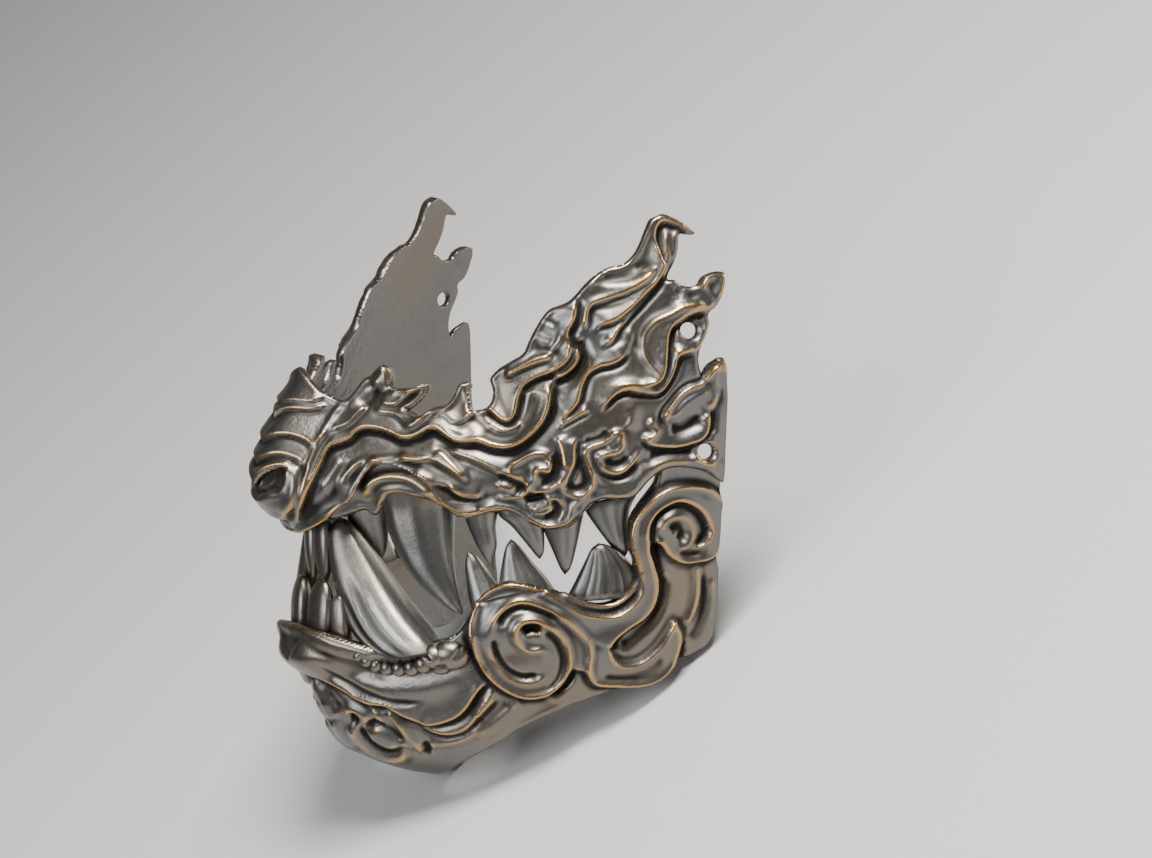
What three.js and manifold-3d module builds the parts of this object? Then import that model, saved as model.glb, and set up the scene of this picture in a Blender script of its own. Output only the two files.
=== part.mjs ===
// Half-face guard in the form of a snarling beast: an upper snout and cheek plate with a flame crest,
// a jaw plate with a rolled lip and raised scrolls, a gum band, tusks, fangs and teeth.
// Millimetres. Modelled upright in a face frame (x to the wearer's left, y to the back, z up, y = 0 at the
// snout), then leaned back by LEAN so that it stands on its chin and the two rear corners of the jaw, z = 0.
import * as THREE from "three";
import { mergeVertices } from "three/addons/utils/BufferGeometryUtils.js";
import Module from "manifold-3d";

const wasm = await Module();
wasm.setup();

// ---------------------------------------------------------------- driving sizes
const LEAN = 37.96; // degrees the guard leans back where it stands
const REST_CUT = 1; // depth of the three small flats that it stands on
const REAR_Y = 109; // the plates end on this plane, just in front of the ears
const PLATE = 2.6; // wall of each plate
const FIT = 0.3; // gap between neighbouring pieces
const STRAP_HOLE_R = 2.1; // strap holes near the rear rim
const COLS = 15; // surface steps from the centre line to the rear, each side
const ROWSTEP = 1; // surface steps between two sections

// Three-quarter view that the outlines below are drawn in: q runs right and w up in its plane, in mm.
const VIEW = { azimuth: 60, elevation: 6, distance: 1000, q0: 90.6, w0: 93.4 };

// Face sections from under the chin to above the snout. Each starts on the centre line at (yF, zF) and ends
// on the rear plane at height zR and half width W; n is its squareness, r its roundness at the front, and
// the muzzle stands b proud of it, falling away over the half width m.
const SECTIONS = [
  { name: "under_chin", yF: 67, zF: -4.5, zR: 25, W: 55, n: 1.95, r: 0.04, b: 0, m: 20 },
  { name: "chin_base", yF: 56, zF: -7.0, zR: 28, W: 58, n: 1.9, r: 0.04, b: 0, m: 20 },
  { name: "chin_low", yF: 44.6, zF: -5.0, zR: 31, W: 60.5, n: 1.88, r: 0.04, b: 2, m: 20 },
  { name: "chin_mid", yF: 32.6, zF: 1.1, zR: 35, W: 62.5, n: 1.84, r: 0.04, b: 4, m: 20 },
  { name: "chin_front", yF: 25.1, zF: 10.0, zR: 40, W: 64, n: 1.8, r: 0.04, b: 5, m: 20 },
  { name: "chin_top", yF: 20.6, zF: 19.0, zR: 45, W: 65, n: 1.78, r: 0.04, b: 5, m: 21 },
  { name: "lip_recess", yF: 18.6, zF: 24.7, zR: 48.5, W: 65.5, n: 1.76, r: 0.04, b: 5, m: 22 },
  { name: "lip_under", yF: 12.6, zF: 29.9, zR: 52, W: 66, n: 1.74, r: 0.04, b: 6, m: 24 },
  { name: "lip_front", yF: 10.4, zF: 35.5, zR: 56, W: 66.5, n: 1.72, r: 0.04, b: 7, m: 25 },
  { name: "lip_top", yF: 12.0, zF: 39.5, zR: 59.5, W: 67, n: 1.72, r: 0.04, b: 7, m: 25 },
  { name: "gum_ledge", yF: 19, zF: 41.2, zR: 62.5, W: 67.5, n: 1.72, r: 0.04, b: 6, m: 25 },
  { name: "bite", yF: 20.5, zF: 55.0, zR: 70, W: 68.5, n: 1.7, r: 0.04, b: 5, m: 24 },
  { name: "upper_lip", yF: 17.5, zF: 65.7, zR: 78.5, W: 70, n: 1.68, r: 0.03, b: 8, m: 21 },
  { name: "nose_base", yF: 9, zF: 72.0, zR: 84, W: 71, n: 1.68, r: 0.02, b: 14, m: 17 },
  { name: "nose_tip", yF: 4.4, zF: 78.3, zR: 90, W: 71.5, n: 1.68, r: 0.02, b: 15, m: 15.5 },
  { name: "snout_mid", yF: 8.1, zF: 90.6, zR: 101, W: 72, n: 1.66, r: 0.016, b: 15, m: 13.5 },
  { name: "snout_top", yF: 14.2, zF: 101.4, zR: 117, W: 72, n: 1.66, r: 0.012, b: 13, m: 12 },
  { name: "bridge", yF: 19.4, zF: 111.7, zR: 136, W: 70.5, n: 1.66, r: 0.01, b: 11, m: 11 },
  { name: "temple", yF: 25.5, zF: 122, zR: 160, W: 67, n: 1.66, r: 0.01, b: 9, m: 11 },
];
const ROW = Object.fromEntries(SECTIONS.map((s, i) => [s.name, i]));

// Outlines of the left half in the three-quarter view, mm (q, w from the snout side and the chin).
const UPPER_OUTLINE = [
  [-14, 119], [13.1, 112.8], [15.6, 108.6], [20.8, 104.4], [25, 102], [27.2, 102], [32.3, 107.8], [35.5, 109.1],
  [38.5, 111.3], [40.6, 110], [40.7, 105.6], [44.4, 105.2], [50.2, 106.4], [50.2, 104.2], [46, 99.8], [48.5, 97.2],
  [52.8, 100], [55.8, 100.6], [59, 106.1], [60.8, 106.9], [61.8, 104.6], [62.2, 99.4], [66.4, 99.9], [67.8, 101.9],
  [67.2, 108.1], [70.2, 111.4], [75.8, 114.3], [79.3, 122], [83.7, 128], [88.4, 130], [94.3, 135.2], [100, 139.1],
  [106.8, 143.2], [109.5, 149.5], [112, 153.2], [116.9, 152.6], [123, 148.3], [118.5, 147.5], [117.3, 140.2],
  [115, 134.9], [117.4, 134.4], [122, 133.7], [124.7, 136.4], [128.3, 137.7], [130.8, 136.8], [129.7, 131.2],
  [128.3, 128.4], [126.5, 123.4], [125.8, 118.9], [123.8, 116.6], [124.2, 110.9], [125.5, 109.8], [127.5, 113.1],
  [130.6, 113.9], [134, 112], [134, 78], [129.9, 80.1], [125, 82.8], [118, 83.8], [112.2, 81.9], [106, 75.4],
  [98.7, 75], [94, 72.8], [90, 69.6], [85.1, 66.8], [82.5, 66.7], [78.1, 68.8], [71.1, 72.5], [65, 71.9],
  [57.3, 73.2], [50.5, 79], [46, 81.8], [39, 84], [33.5, 82.4], [28.9, 76.1], [22.2, 70.4], [13, 66.8], [10, 66.4],
  [-14, 71],
];
const JAW_OUTLINE = [
  [-14, 40], [8.6, 40], [11.5, 40.7], [15, 39.4], [21.4, 36.6], [28, 34.4], [34, 32.8], [42, 32.4], [50, 34.2], [56.5, 36.5], [60.4, 41.4],
  [63.2, 47.5], [66.8, 50], [71.2, 51.2], [77, 50.9], [82.5, 49], [86.5, 50.2], [92, 46.4], [98, 45.4],
  [103.4, 47.4], [106.6, 52.5], [106.4, 58.5], [105.2, 63.5], [105.6, 68.6], [108.2, 73], [112.2, 78.2],
  [117, 86], [134, 87], [134, 38], [129.6, 36.6], [126, 32.8], [116.3, 27.8], [104, 22.2], [86.2, 16.2],
  [76.4, 11.2], [65.2, 4.2], [61, 2.2], [57, 0], [52.8, -4.7], [-14, -10],
];
// Raised scroll band on the side of the jaw: front spiral, the rising band and the rear spiral.
const SCROLL_OUTLINE = [
  [60.8, 38], [62, 44], [65.9, 49], [71.2, 51], [77, 50.6], [83, 47.8], [91.6, 43.4], [97, 42.4], [103, 43.4],
  [106.6, 47], [107.6, 52], [106.6, 57.6], [105.4, 63], [106, 68.4], [109, 73.4], [114, 77.4], [121, 79],
  [127, 77.6], [130.6, 73], [130.8, 65], [127, 59.8], [121, 57.6], [115.6, 60], [112.6, 64.6], [113.6, 57],
  [113, 50], [109.6, 43], [103.6, 38.6], [100.6, 36], [97, 38], [93, 33.6], [90, 28.8], [84, 22.8], [77.6, 20.4],
  [70, 22.8], [64, 28.4], [61.2, 33.4],
];
// Band of gum that shows under the upper lip and carries the upper teeth.
const GUM_OUTLINE = [
  [-14, 76], [22, 76], [30, 82], [38, 87], [48, 86], [56, 79], [70, 78], [84, 73.5], [96, 80], [104, 84],
  [106, 76], [97, 74], [90, 69], [84, 66.2], [77, 68.2], [70.5, 71.4], [64, 71], [57.6, 70.6], [52, 73.6],
  [46, 76.2], [39.6, 76], [36.4, 72.4], [33.6, 71], [26, 70.5], [-14, 70],
];

// Teeth: root, bend and tip as (q, w, depth behind the face surface), or for the front ones, marked aside, as
// (q, w, distance from the centre plane); wide and thick are the root's full sizes and round is the tip's
// bluntness.
const TEETH = [
  { name: "upper_fang", root: [45.8, 74.8, 4.5], bend: [50.8, 58, 1.5], tip: [58.4, 43.4, 4], wide: 18.5, thick: 12, round: 0.13 },
  { name: "upper_incisor_1", aside: true, root: [20.3, 68.3, 3.5], bend: [20.8, 59.7, 3.5], tip: [21, 51.1, 3.5], wide: 6, thick: 4.6, round: 0.55 },
  { name: "upper_incisor_2", aside: true, root: [32.2, 72.2, 13.5], bend: [33.2, 63.3, 10.8], tip: [36.1, 57.8, 11.2], wide: 10, thick: 5, round: 0.4 },
  { name: "upper_tooth_1", root: [62.2, 73, 4.6], bend: [65.2, 66, 3.4], tip: [66.6, 58.4, 4], wide: 9, thick: 6, round: 0.16 },
  { name: "upper_tooth_2", root: [74, 72.2, 4.6], bend: [77.6, 66.4, 3.4], tip: [79.6, 59, 4], wide: 10.4, thick: 6.4, round: 0.16 },
  { name: "upper_tooth_3", root: [87.4, 69.2, 4.8], bend: [87.8, 62, 3.6], tip: [87.6, 54.4, 4], wide: 10, thick: 6.2, round: 0.18 },
  { name: "upper_tooth_4", root: [97.8, 75.6, 6.2], bend: [100.8, 67.6, 5.4], tip: [104.6, 58.6, 6], wide: 13, thick: 6, round: 0.12 },
  { name: "lower_tusk", aside: true, root: [44.2, 34.4, 29.5], bend: [32.8, 50.6, 17], tip: [25, 69.4, 10.8], wide: 17.5, thick: 9.4, round: 0.3 },
  { name: "lower_incisor_1", aside: true, root: [19.4, 39.2, 6.4], bend: [20, 45.8, 6.4], tip: [20.4, 52.3, 6.4], wide: 9.4, thick: 5, round: 0.7 },
  { name: "lower_incisor_2", aside: true, root: [25.6, 35.8, 14.6], bend: [25.2, 41.7, 14.2], tip: [24.8, 47.5, 13.8], wide: 6.6, thick: 4.6, round: 0.6 },
  { name: "lower_tooth_1", root: [63.6, 43, 6.6], bend: [61, 52, 5], tip: [60, 58.8, 5], wide: 9.2, thick: 6.4, round: 0.2 },
  { name: "lower_tooth_2", root: [77, 46.6, 6.8], bend: [74.2, 55, 5.4], tip: [72.2, 62.6, 5], wide: 14.4, thick: 7, round: 0.14 },
  { name: "lower_tooth_3", root: [97.2, 44.4, 6.8], bend: [96.8, 54, 5.4], tip: [96.4, 61.4, 5], wide: 16.5, thick: 7, round: 0.16 },
];

// Beads of gum along the foot of the tusk: (q, w, radius).
const BEADS = [
  [32.8, 29.9, 1.4], [35.6, 28.8, 1.5], [38.5, 28.1, 1.6], [41.6, 27.8, 1.7], [44.8, 28.1, 1.8], [48.2, 28.9, 2],
  [53.8, 30.6, 3.6],
];

// ---------------------------------------------------------------- face surface
const rad = (d) => (d * Math.PI) / 180;
const lerp3 = (p0, p1, p2, p3, t) =>
  0.5 * (2 * p1 + (p2 - p0) * t + (2 * p0 - 5 * p1 + 4 * p2 - p3) * t * t + (3 * p1 - p0 - 3 * p2 + p3) * t * t * t);

function section(v) {
  const i = Math.min(SECTIONS.length - 2, Math.max(0, Math.floor(v)));
  const t = v - i;
  const at = (k) => SECTIONS[Math.min(SECTIONS.length - 1, Math.max(0, k))];
  const out = {};
  for (const key of ["yF", "zF", "zR", "W", "n", "r", "b", "m"])
    out[key] = lerp3(at(i - 1)[key], at(i)[key], at(i + 1)[key], at(i + 2)[key], t);
  return out;
}

// u is 0 at the centre line and 1 at the rear plane, negative on the wearer's right.
function face(u, v, beyond = 0) {
  const s = section(v);
  const th = (Math.abs(u) * Math.PI) / 2;
  const X = Math.pow(Math.sin(th), 2 / s.n);
  const C = Math.pow(Math.max(0, Math.cos(th)), 2 / s.n);
  const x = (s.W * Math.sqrt(X * X + 2 * s.r * X)) / Math.sqrt(1 + 2 * s.r);
  const y = REAR_Y - (REAR_Y - s.yF - s.b) * C - s.b * Math.exp(-((x / s.m) ** 2)) + beyond;
  const z = s.zF + ((s.zR - s.zF) * (y - s.yF)) / (REAR_Y - s.yF);
  return new THREE.Vector3(Math.sign(u) * x, y, z);
}

function normal(u, v) {
  const e = 0.004;
  const s = u < 0 ? -1 : 1;
  const a = Math.min(Math.abs(u), 1 - 2 * e);
  let du = face(a + e, v).sub(a < e ? new THREE.Vector3(-face(e, v).x, face(e, v).y, face(e, v).z) : face(a - e, v));
  const dv = face(a, Math.min(SECTIONS.length - 1, v + 0.15)).sub(face(a, Math.max(0, v - 0.15)));
  const n = du.cross(dv).normalize();
  return new THREE.Vector3(n.x * s, n.y, n.z);
}

// ---------------------------------------------------------------- solids
function solid(points, triangles) {
  const make = (tri) =>
    new wasm.Manifold(
      new wasm.Mesh({
        numProp: 3,
        vertProperties: new Float32Array(points.flatMap((p) => [p.x, p.y, p.z])),
        triVerts: new Uint32Array(tri.flat()),
      }),
    );
  const made = make(triangles);
  return made.volume() < 0 ? make(triangles.map(([a, b, c]) => [a, c, b])) : made;
}

// Closed slab between two offsets of the face surface, over a range of sections.
function slab(v0, v1, low, high, cols = COLS) {
  const rows = Math.round((v1 - v0) * ROWSTEP);
  const nu = 2 * cols + 1;
  const points = [];
  const tri = [];
  for (const off of [low, high])
    for (let j = 0; j <= rows; j++)
      for (let i = 0; i < nu; i++) {
        const k = (i - cols) / cols;
        // the spacing is even along the wall, and the last column runs past the rear plane
        const u = Math.sign(k) * Math.pow(Math.abs(k), 1.02);
        const v = v0 + ((v1 - v0) * j) / rows;
        const p = face(u, v, Math.abs(k) === 1 ? 3 : 0);
        points.push(p.addScaledVector(normal(u, v), off));
      }
  const id = (l, j, i) => l * (rows + 1) * nu + j * nu + i;
  for (let j = 0; j < rows; j++)
    for (let i = 0; i < nu - 1; i++) {
      tri.push([id(1, j, i), id(1, j, i + 1), id(1, j + 1, i + 1)], [id(1, j, i), id(1, j + 1, i + 1), id(1, j + 1, i)]);
      tri.push([id(0, j, i), id(0, j + 1, i + 1), id(0, j, i + 1)], [id(0, j, i), id(0, j + 1, i), id(0, j + 1, i + 1)]);
    }
  for (let i = 0; i < nu - 1; i++) {
    tri.push([id(0, 0, i), id(0, 0, i + 1), id(1, 0, i + 1)], [id(0, 0, i), id(1, 0, i + 1), id(1, 0, i)]);
    tri.push([id(0, rows, i), id(1, rows, i + 1), id(0, rows, i + 1)], [id(0, rows, i), id(1, rows, i), id(1, rows, i + 1)]);
  }
  for (let j = 0; j < rows; j++) {
    tri.push([id(0, j, 0), id(1, j, 0), id(1, j + 1, 0)], [id(0, j, 0), id(1, j + 1, 0), id(0, j + 1, 0)]);
    tri.push([id(0, j, nu - 1), id(1, j + 1, nu - 1), id(1, j, nu - 1)], [id(0, j, nu - 1), id(0, j + 1, nu - 1), id(1, j + 1, nu - 1)]);
  }
  return solid(points, tri);
}

// Rays of the three-quarter view.
const A = rad(VIEW.azimuth);
const E = rad(VIEW.elevation);
const BACK = new THREE.Vector3(Math.sin(A) * Math.cos(E), -Math.cos(A) * Math.cos(E), Math.sin(E));
const RIGHT = new THREE.Vector3(Math.cos(A), Math.sin(A), 0);
const UP = BACK.clone().cross(RIGHT);
const EYE = RIGHT.clone().multiplyScalar(VIEW.q0).addScaledVector(UP, VIEW.w0).addScaledVector(BACK, VIEW.distance);
function ray(q, w) {
  // q and w are stated from the snout's left edge and the chin's base in the view plane
  return RIGHT.clone().multiplyScalar(q - VIEW.q0).addScaledVector(UP, w - 94.17).addScaledVector(BACK, -VIEW.distance);
}
function seen(p) {
  const d = p.clone().sub(EYE);
  const k = -VIEW.distance / d.dot(BACK);
  return [d.dot(RIGHT) * k + VIEW.q0, d.dot(UP) * k + 94.17];
}
// The point of the left face surface that the view shows at (q, w), moved in by a depth.
const LATTICE = [];
for (let u = 0.02; u <= 0.99; u += 0.03)
  for (let v = 0.2; v <= SECTIONS.length - 1.1; v += 0.25) LATTICE.push([u, v, ...seen(face(u, v))]);
function onFace(q, w, depth = 0) {
  let [u, v] = LATTICE.reduce((a, b) => (Math.hypot(b[2] - q, b[3] - w) < Math.hypot(a[2] - q, a[3] - w) ? b : a));
  for (let k = 0; k < 12; k++) {
    const e = 1e-3;
    const [a, b] = seen(face(u, v));
    const [au, bu] = seen(face(u + e, v));
    const [av, bv] = seen(face(u, v + e));
    const [m11, m21, m12, m22] = [(au - a) / e, (bu - b) / e, (av - a) / e, (bv - b) / e];
    const det = m11 * m22 - m12 * m21;
    u = Math.min(0.995, Math.max(0.004, u + (0.7 * (m22 * (q - a) - m12 * (w - b))) / det));
    v = Math.min(SECTIONS.length - 1.01, Math.max(0.01, v + (0.7 * (m11 * (w - b) - m21 * (q - a))) / det));
  }
  const n = normal(u, v);
  return { p: face(u, v).addScaledVector(n, -depth), n };
}

// The point that the view shows at (q, w), at a distance x to the left of the centre plane.
function asideAt(q, w, x) {
  const r = ray(q, w);
  return EYE.clone().addScaledVector(r, (x - EYE.x) / r.x);
}

// Everything seen inside an outline, between two depths, as a solid wedge.
function seenInside(outline) {
  const flat = outline.map(([q, w]) => new THREE.Vector2(q, w));
  if (THREE.ShapeUtils.isClockWise(flat)) flat.reverse();
  const caps = THREE.ShapeUtils.triangulateShape(flat, []);
  const n = flat.length;
  const points = [0.82, 1.2].flatMap((k) => flat.map((p) => EYE.clone().addScaledVector(ray(p.x, p.y), k)));
  const tri = [];
  for (const [a, b, c] of caps) tri.push([a, b, c], [a + n, c + n, b + n]);
  for (let i = 0; i < n; i++) {
    const j = (i + 1) % n;
    tri.push([i, i + n, j + n], [i, j + n, j]);
  }
  return solid(points, tri);
}

function fromGeometry(geometry) {
  const g = geometry.clone();
  g.deleteAttribute("normal");
  g.deleteAttribute("uv");
  const m = mergeVertices(g, 1e-4);
  const p = m.attributes.position;
  const points = Array.from({ length: p.count }, (_, i) => new THREE.Vector3().fromBufferAttribute(p, i));
  const t = Array.from(m.index.array);
  return solid(points, Array.from({ length: t.length / 3 }, (_, i) => t.slice(3 * i, 3 * i + 3)));
}
const block = (x0, x1, y0, y1, z0, z1) =>
  fromGeometry(new THREE.BoxGeometry(x1 - x0, y1 - y0, z1 - z0).translate((x0 + x1) / 2, (y0 + y1) / 2, (z0 + z1) / 2));

function mirrored(s) {
  const m = s.getMesh();
  const points = [];
  for (let i = 0; i < m.numVert; i++)
    points.push(new THREE.Vector3(-m.vertProperties[i * m.numProp], m.vertProperties[i * m.numProp + 1], m.vertProperties[i * m.numProp + 2]));
  const t = Array.from(m.triVerts);
  return solid(points, Array.from({ length: t.length / 3 }, (_, i) => [t[3 * i], t[3 * i + 2], t[3 * i + 1]]));
}

const LEFT = block(-0.05, 200, -100, 300, -100, 300);
function bothSides(outline) {
  const left = seenInside(outline).intersect(LEFT);
  return left.add(mirrored(left));
}

// Hole through a plate, square to it, centred where the view shows it.
function holeAt(q, w, radius, sides, inward, outward, squeeze = 1) {
  const best = onFace(q, w);
  const g = new THREE.CylinderGeometry(radius, radius, outward + inward, sides).scale(1, 1, squeeze);
  g.applyQuaternion(new THREE.Quaternion().setFromUnitVectors(new THREE.Vector3(0, 1, 0), best.n));
  const c = best.p.clone().addScaledVector(best.n, (outward - inward) / 2);
  return fromGeometry(g.translate(c.x, c.y, c.z));
}

// A tooth: oval rings along a bent line, shrinking to a blunt tip. Grown a little, it is its own socket.
function tooth(t, grow = 0) {
  const [a, b, c] = [t.root, t.bend, t.tip].map(([q, w, k]) => (t.aside ? asideAt(q, w, k) : onFace(q, w, k).p));
  const line = new THREE.QuadraticBezierCurve3(a, b.multiplyScalar(2).addScaledVector(a, -0.5).addScaledVector(c, -0.5), c);
  const rings = t.wide > 12 ? 6 : 5;
  const sides = t.wide > 12 ? 10 : 8;
  const { n } = onFace(t.bend[0], t.bend[1]);
  const under = line.getTangent(0).multiplyScalar(-grow);
  const points = [];
  const tri = [];
  for (let j = 0; j < rings; j++) {
    const s = j / rings;
    const p = line.getPoint(s);
    const d = line.getTangent(s);
    const wide = n.clone().cross(d).normalize();
    const deep = d.clone().cross(wide).normalize();
    const k = Math.pow(1 - Math.pow(s, 1.25 + 2.2 * t.round), 0.62 + 0.1 * t.round) * (1 - 0.1 * s);
    for (let i = 0; i < sides; i++) {
      const f = (2 * Math.PI * i) / sides;
      const ring = p.clone().addScaledVector(wide, Math.cos(f) * ((k * t.wide) / 2 + grow)).addScaledVector(deep, Math.sin(f) * ((k * t.thick) / 2 + grow));
      points.push(j ? ring : ring.add(under));
    }
  }
  points.push(line.getPoint(0).add(under), line.getPoint(1).addScaledVector(line.getTangent(1), grow));
  const [root, tip] = [points.length - 2, points.length - 1];
  for (let i = 0; i < sides; i++) {
    const o = (i + 1) % sides;
    for (let j = 0; j < rings - 1; j++)
      tri.push([j * sides + i, j * sides + o, (j + 1) * sides + o], [j * sides + i, (j + 1) * sides + o, (j + 1) * sides + i]);
    tri.push([root, o, i], [(rings - 1) * sides + i, (rings - 1) * sides + o, tip]);
  }
  return solid(points, tri);
}

// The beads as one solid, half sunk in the lip and strung on a rod.
function beads(grow = 0) {
  const at = BEADS.map(([q, w]) => onFace(q, w, 0.2).p);
  const balls = at.map((p, i) =>
    fromGeometry(new THREE.OctahedronGeometry((BEADS[i][2] + grow) * 1.06, 1).translate(p.x, p.y, p.z)));
  const rods = at.slice(1).map((p, i) => {
    const d = p.clone().sub(at[i]);
    const g = new THREE.CylinderGeometry(0.9 + grow, 0.9 + grow, d.length(), 4);
    g.applyQuaternion(new THREE.Quaternion().setFromUnitVectors(new THREE.Vector3(0, 1, 0), d.normalize()));
    const c = p.clone().add(at[i]).multiplyScalar(0.5);
    return fromGeometry(g.translate(c.x, c.y, c.z));
  });
  return [...balls, ...rods].reduce((a, b) => a.add(b));
}

const behindRear = block(-200, 200, REAR_Y, 400, -200, 400);

// Plates
const noseHole = holeAt(7.4, 80.4, 4.1, 10, 9, 12, 0.8);
const strapHoles = [holeAt(121, 121.6, STRAP_HOLE_R, 10, 9, 9), holeAt(126.6, 88.6, STRAP_HOLE_R, 10, 9, 9)];
let upper = slab(ROW.bite + 0.5, ROW.temple, 0.1, PLATE).intersect(bothSides(UPPER_OUTLINE)).subtract(behindRear);
for (const h of [noseHole, ...strapHoles]) upper = upper.subtract(h).subtract(mirrored(h));

let jaw = slab(ROW.under_chin, ROW.nose_base + 0.5, -PLATE - FIT, -FIT).intersect(bothSides(JAW_OUTLINE));
const scroll = slab(ROW.chin_base, ROW.upper_lip + 0.5, -1.2, 1.9).intersect(bothSides(SCROLL_OUTLINE));
jaw = jaw.add(scroll).subtract(behindRear).subtract(beads(FIT)).subtract(mirrored(beads(FIT)));

let gum = slab(ROW.bite + 0.5, ROW.snout_mid, -7.4, -FIT * 2.4).intersect(bothSides(GUM_OUTLINE));
// clearance between the gum's rear ends and the jaw's riser
gum = gum.subtract(slab(ROW.bite, ROW.nose_base + 0.8, -PLATE - 2 * FIT, 1).intersect(bothSides(JAW_OUTLINE.map(([q, w]) => [q - 0.5, w + 0.5]))));

// ---------------------------------------------------------------- pieces
const pieces = [
  ["upper_guard", upper, "plate"],
  ["jaw_guard", jaw, "plate"],
  ["upper_gum", gum, "gum"],
  ["gum_beads_left", beads(), "gum"],
  ["gum_beads_right", mirrored(beads()), "gum"],
];
for (const t of TEETH) {
  const s = tooth(t);
  const socket = tooth(t, FIT + 0.05).add(mirrored(tooth(t, FIT + 0.05)));
  for (const piece of pieces.slice(0, 5)) piece[1] = piece[1].subtract(socket);
  pieces.push([t.name + "_left", s, "tooth"], [t.name + "_right", mirrored(s), "tooth"]);
}
// The sockets leave crumbs of the lip between the beads; only the plate itself is kept.
const biggest = (solids) => solids.reduce((a, b) => (b.volume() > a.volume() ? b : a));
for (const piece of pieces.slice(0, 3)) piece[1] = biggest(piece[1].decompose());

export const debug = { face, normal, ROW, onFace, pieces, LEAN };

const MATERIALS = {
  plate: new THREE.MeshStandardMaterial({ color: 0x6e675f, roughness: 0.42, metalness: 0.9 }),
  gum: new THREE.MeshStandardMaterial({ color: 0x5c5852, roughness: 0.45, metalness: 0.9 }),
  tooth: new THREE.MeshStandardMaterial({ color: 0x86868a, roughness: 0.34, metalness: 0.9 }),
};

// The lean, then the lift that puts the rest flats on z = 0.
const turn = new THREE.Matrix4().makeRotationX(rad(-LEAN));
const guard = new THREE.Group();
const leaned = pieces.map(([name, s, finish]) => [name, s.transform(turn.elements), finish]);
const lowest = leaned.find(([name]) => name === "jaw_guard")[1].boundingBox().min[2] + REST_CUT;
const below = block(-300, 300, -300, 300, lowest - 100, lowest);
const bounds = leaned.map(([, s]) => s.boundingBox());
const middle = (Math.min(...bounds.map((b) => b.min[1])) + Math.max(...bounds.map((b) => b.max[1]))) / 2;
export const place = { middle, lowest };
for (const [name, s, finish] of leaned) {
  const m = (name === "jaw_guard" ? s.subtract(below) : s).getMesh();
  const g = new THREE.BufferGeometry();
  const v = new Float32Array(m.numVert * 3);
  for (let i = 0; i < m.numVert; i++) v.set(m.vertProperties.subarray(i * m.numProp, i * m.numProp + 3), 3 * i);
  g.setAttribute("position", new THREE.BufferAttribute(v, 3));
  g.setIndex(new THREE.BufferAttribute(m.triVerts, 1));
  const mesh = new THREE.Mesh(g, MATERIALS[finish]);
  mesh.name = name;
  mesh.position.set(0, -middle, -lowest);
  guard.add(mesh);
}
export default guard;
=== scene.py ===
import math
import bpy
import numpy as np
from mathutils import Vector, Matrix, kdtree


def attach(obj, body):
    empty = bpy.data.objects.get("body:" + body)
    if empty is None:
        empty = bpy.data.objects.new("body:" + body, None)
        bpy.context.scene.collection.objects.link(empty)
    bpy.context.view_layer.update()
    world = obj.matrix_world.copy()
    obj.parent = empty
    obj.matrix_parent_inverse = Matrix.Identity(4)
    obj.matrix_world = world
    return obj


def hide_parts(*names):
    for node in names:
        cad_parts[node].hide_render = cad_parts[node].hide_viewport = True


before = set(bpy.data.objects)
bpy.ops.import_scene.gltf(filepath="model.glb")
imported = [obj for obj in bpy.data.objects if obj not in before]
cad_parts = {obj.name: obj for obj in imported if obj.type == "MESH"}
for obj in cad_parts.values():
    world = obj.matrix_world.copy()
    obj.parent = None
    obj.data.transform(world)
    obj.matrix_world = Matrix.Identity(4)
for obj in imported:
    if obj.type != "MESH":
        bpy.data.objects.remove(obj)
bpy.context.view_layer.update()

RES = 0.5
rng = np.random.default_rng(7)

# ------------------------------------------------------------------ the face surface, as in the frame
# Upright face frame in mm: x to the wearer's left, y back, z up. It is leaned back by LEAN where it stands.
LEAN = math.radians(37.96)
MIDDLE, LOWEST = 98.80168554896382, -43.49779155723894
REAR_Y = 109.0
SECTIONS = np.array([  # yF, zF, zR, W, n, r, b, m, from under the chin up to the temple
    (67, -4.5, 25, 55, 1.95, 0.04, 0, 20), (56, -7.0, 28, 58, 1.9, 0.04, 0, 20),
    (44.6, -5.0, 31, 60.5, 1.88, 0.04, 2, 20), (32.6, 1.1, 35, 62.5, 1.84, 0.04, 4, 20),
    (25.1, 10.0, 40, 64, 1.8, 0.04, 5, 20), (20.6, 19.0, 45, 65, 1.78, 0.04, 5, 21),
    (18.6, 24.7, 48.5, 65.5, 1.76, 0.04, 5, 22), (12.6, 29.9, 52, 66, 1.74, 0.04, 6, 24),
    (10.4, 35.5, 56, 66.5, 1.72, 0.04, 7, 25), (12.0, 39.5, 59.5, 67, 1.72, 0.04, 7, 25),
    (19, 41.2, 62.5, 67.5, 1.72, 0.04, 6, 25), (20.5, 55.0, 70, 68.5, 1.7, 0.04, 5, 24),
    (17.5, 65.7, 78.5, 70, 1.68, 0.03, 8, 21), (9, 72.0, 84, 71, 1.68, 0.02, 14, 17),
    (4.4, 78.3, 90, 71.5, 1.68, 0.02, 15, 15.5), (8.1, 90.6, 101, 72, 1.66, 0.016, 15, 13.5),
    (14.2, 101.4, 117, 72, 1.66, 0.012, 13, 12), (19.4, 111.7, 136, 70.5, 1.66, 0.01, 11, 11),
    (25.5, 122, 160, 67, 1.66, 0.01, 9, 11),
], dtype=float)
UNDER_CHIN, CHIN_BASE, BITE, UPPER_LIP, NOSE_BASE, SNOUT_MID, TEMPLE = 0, 1, 11, 12, 13, 15, 18


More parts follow.
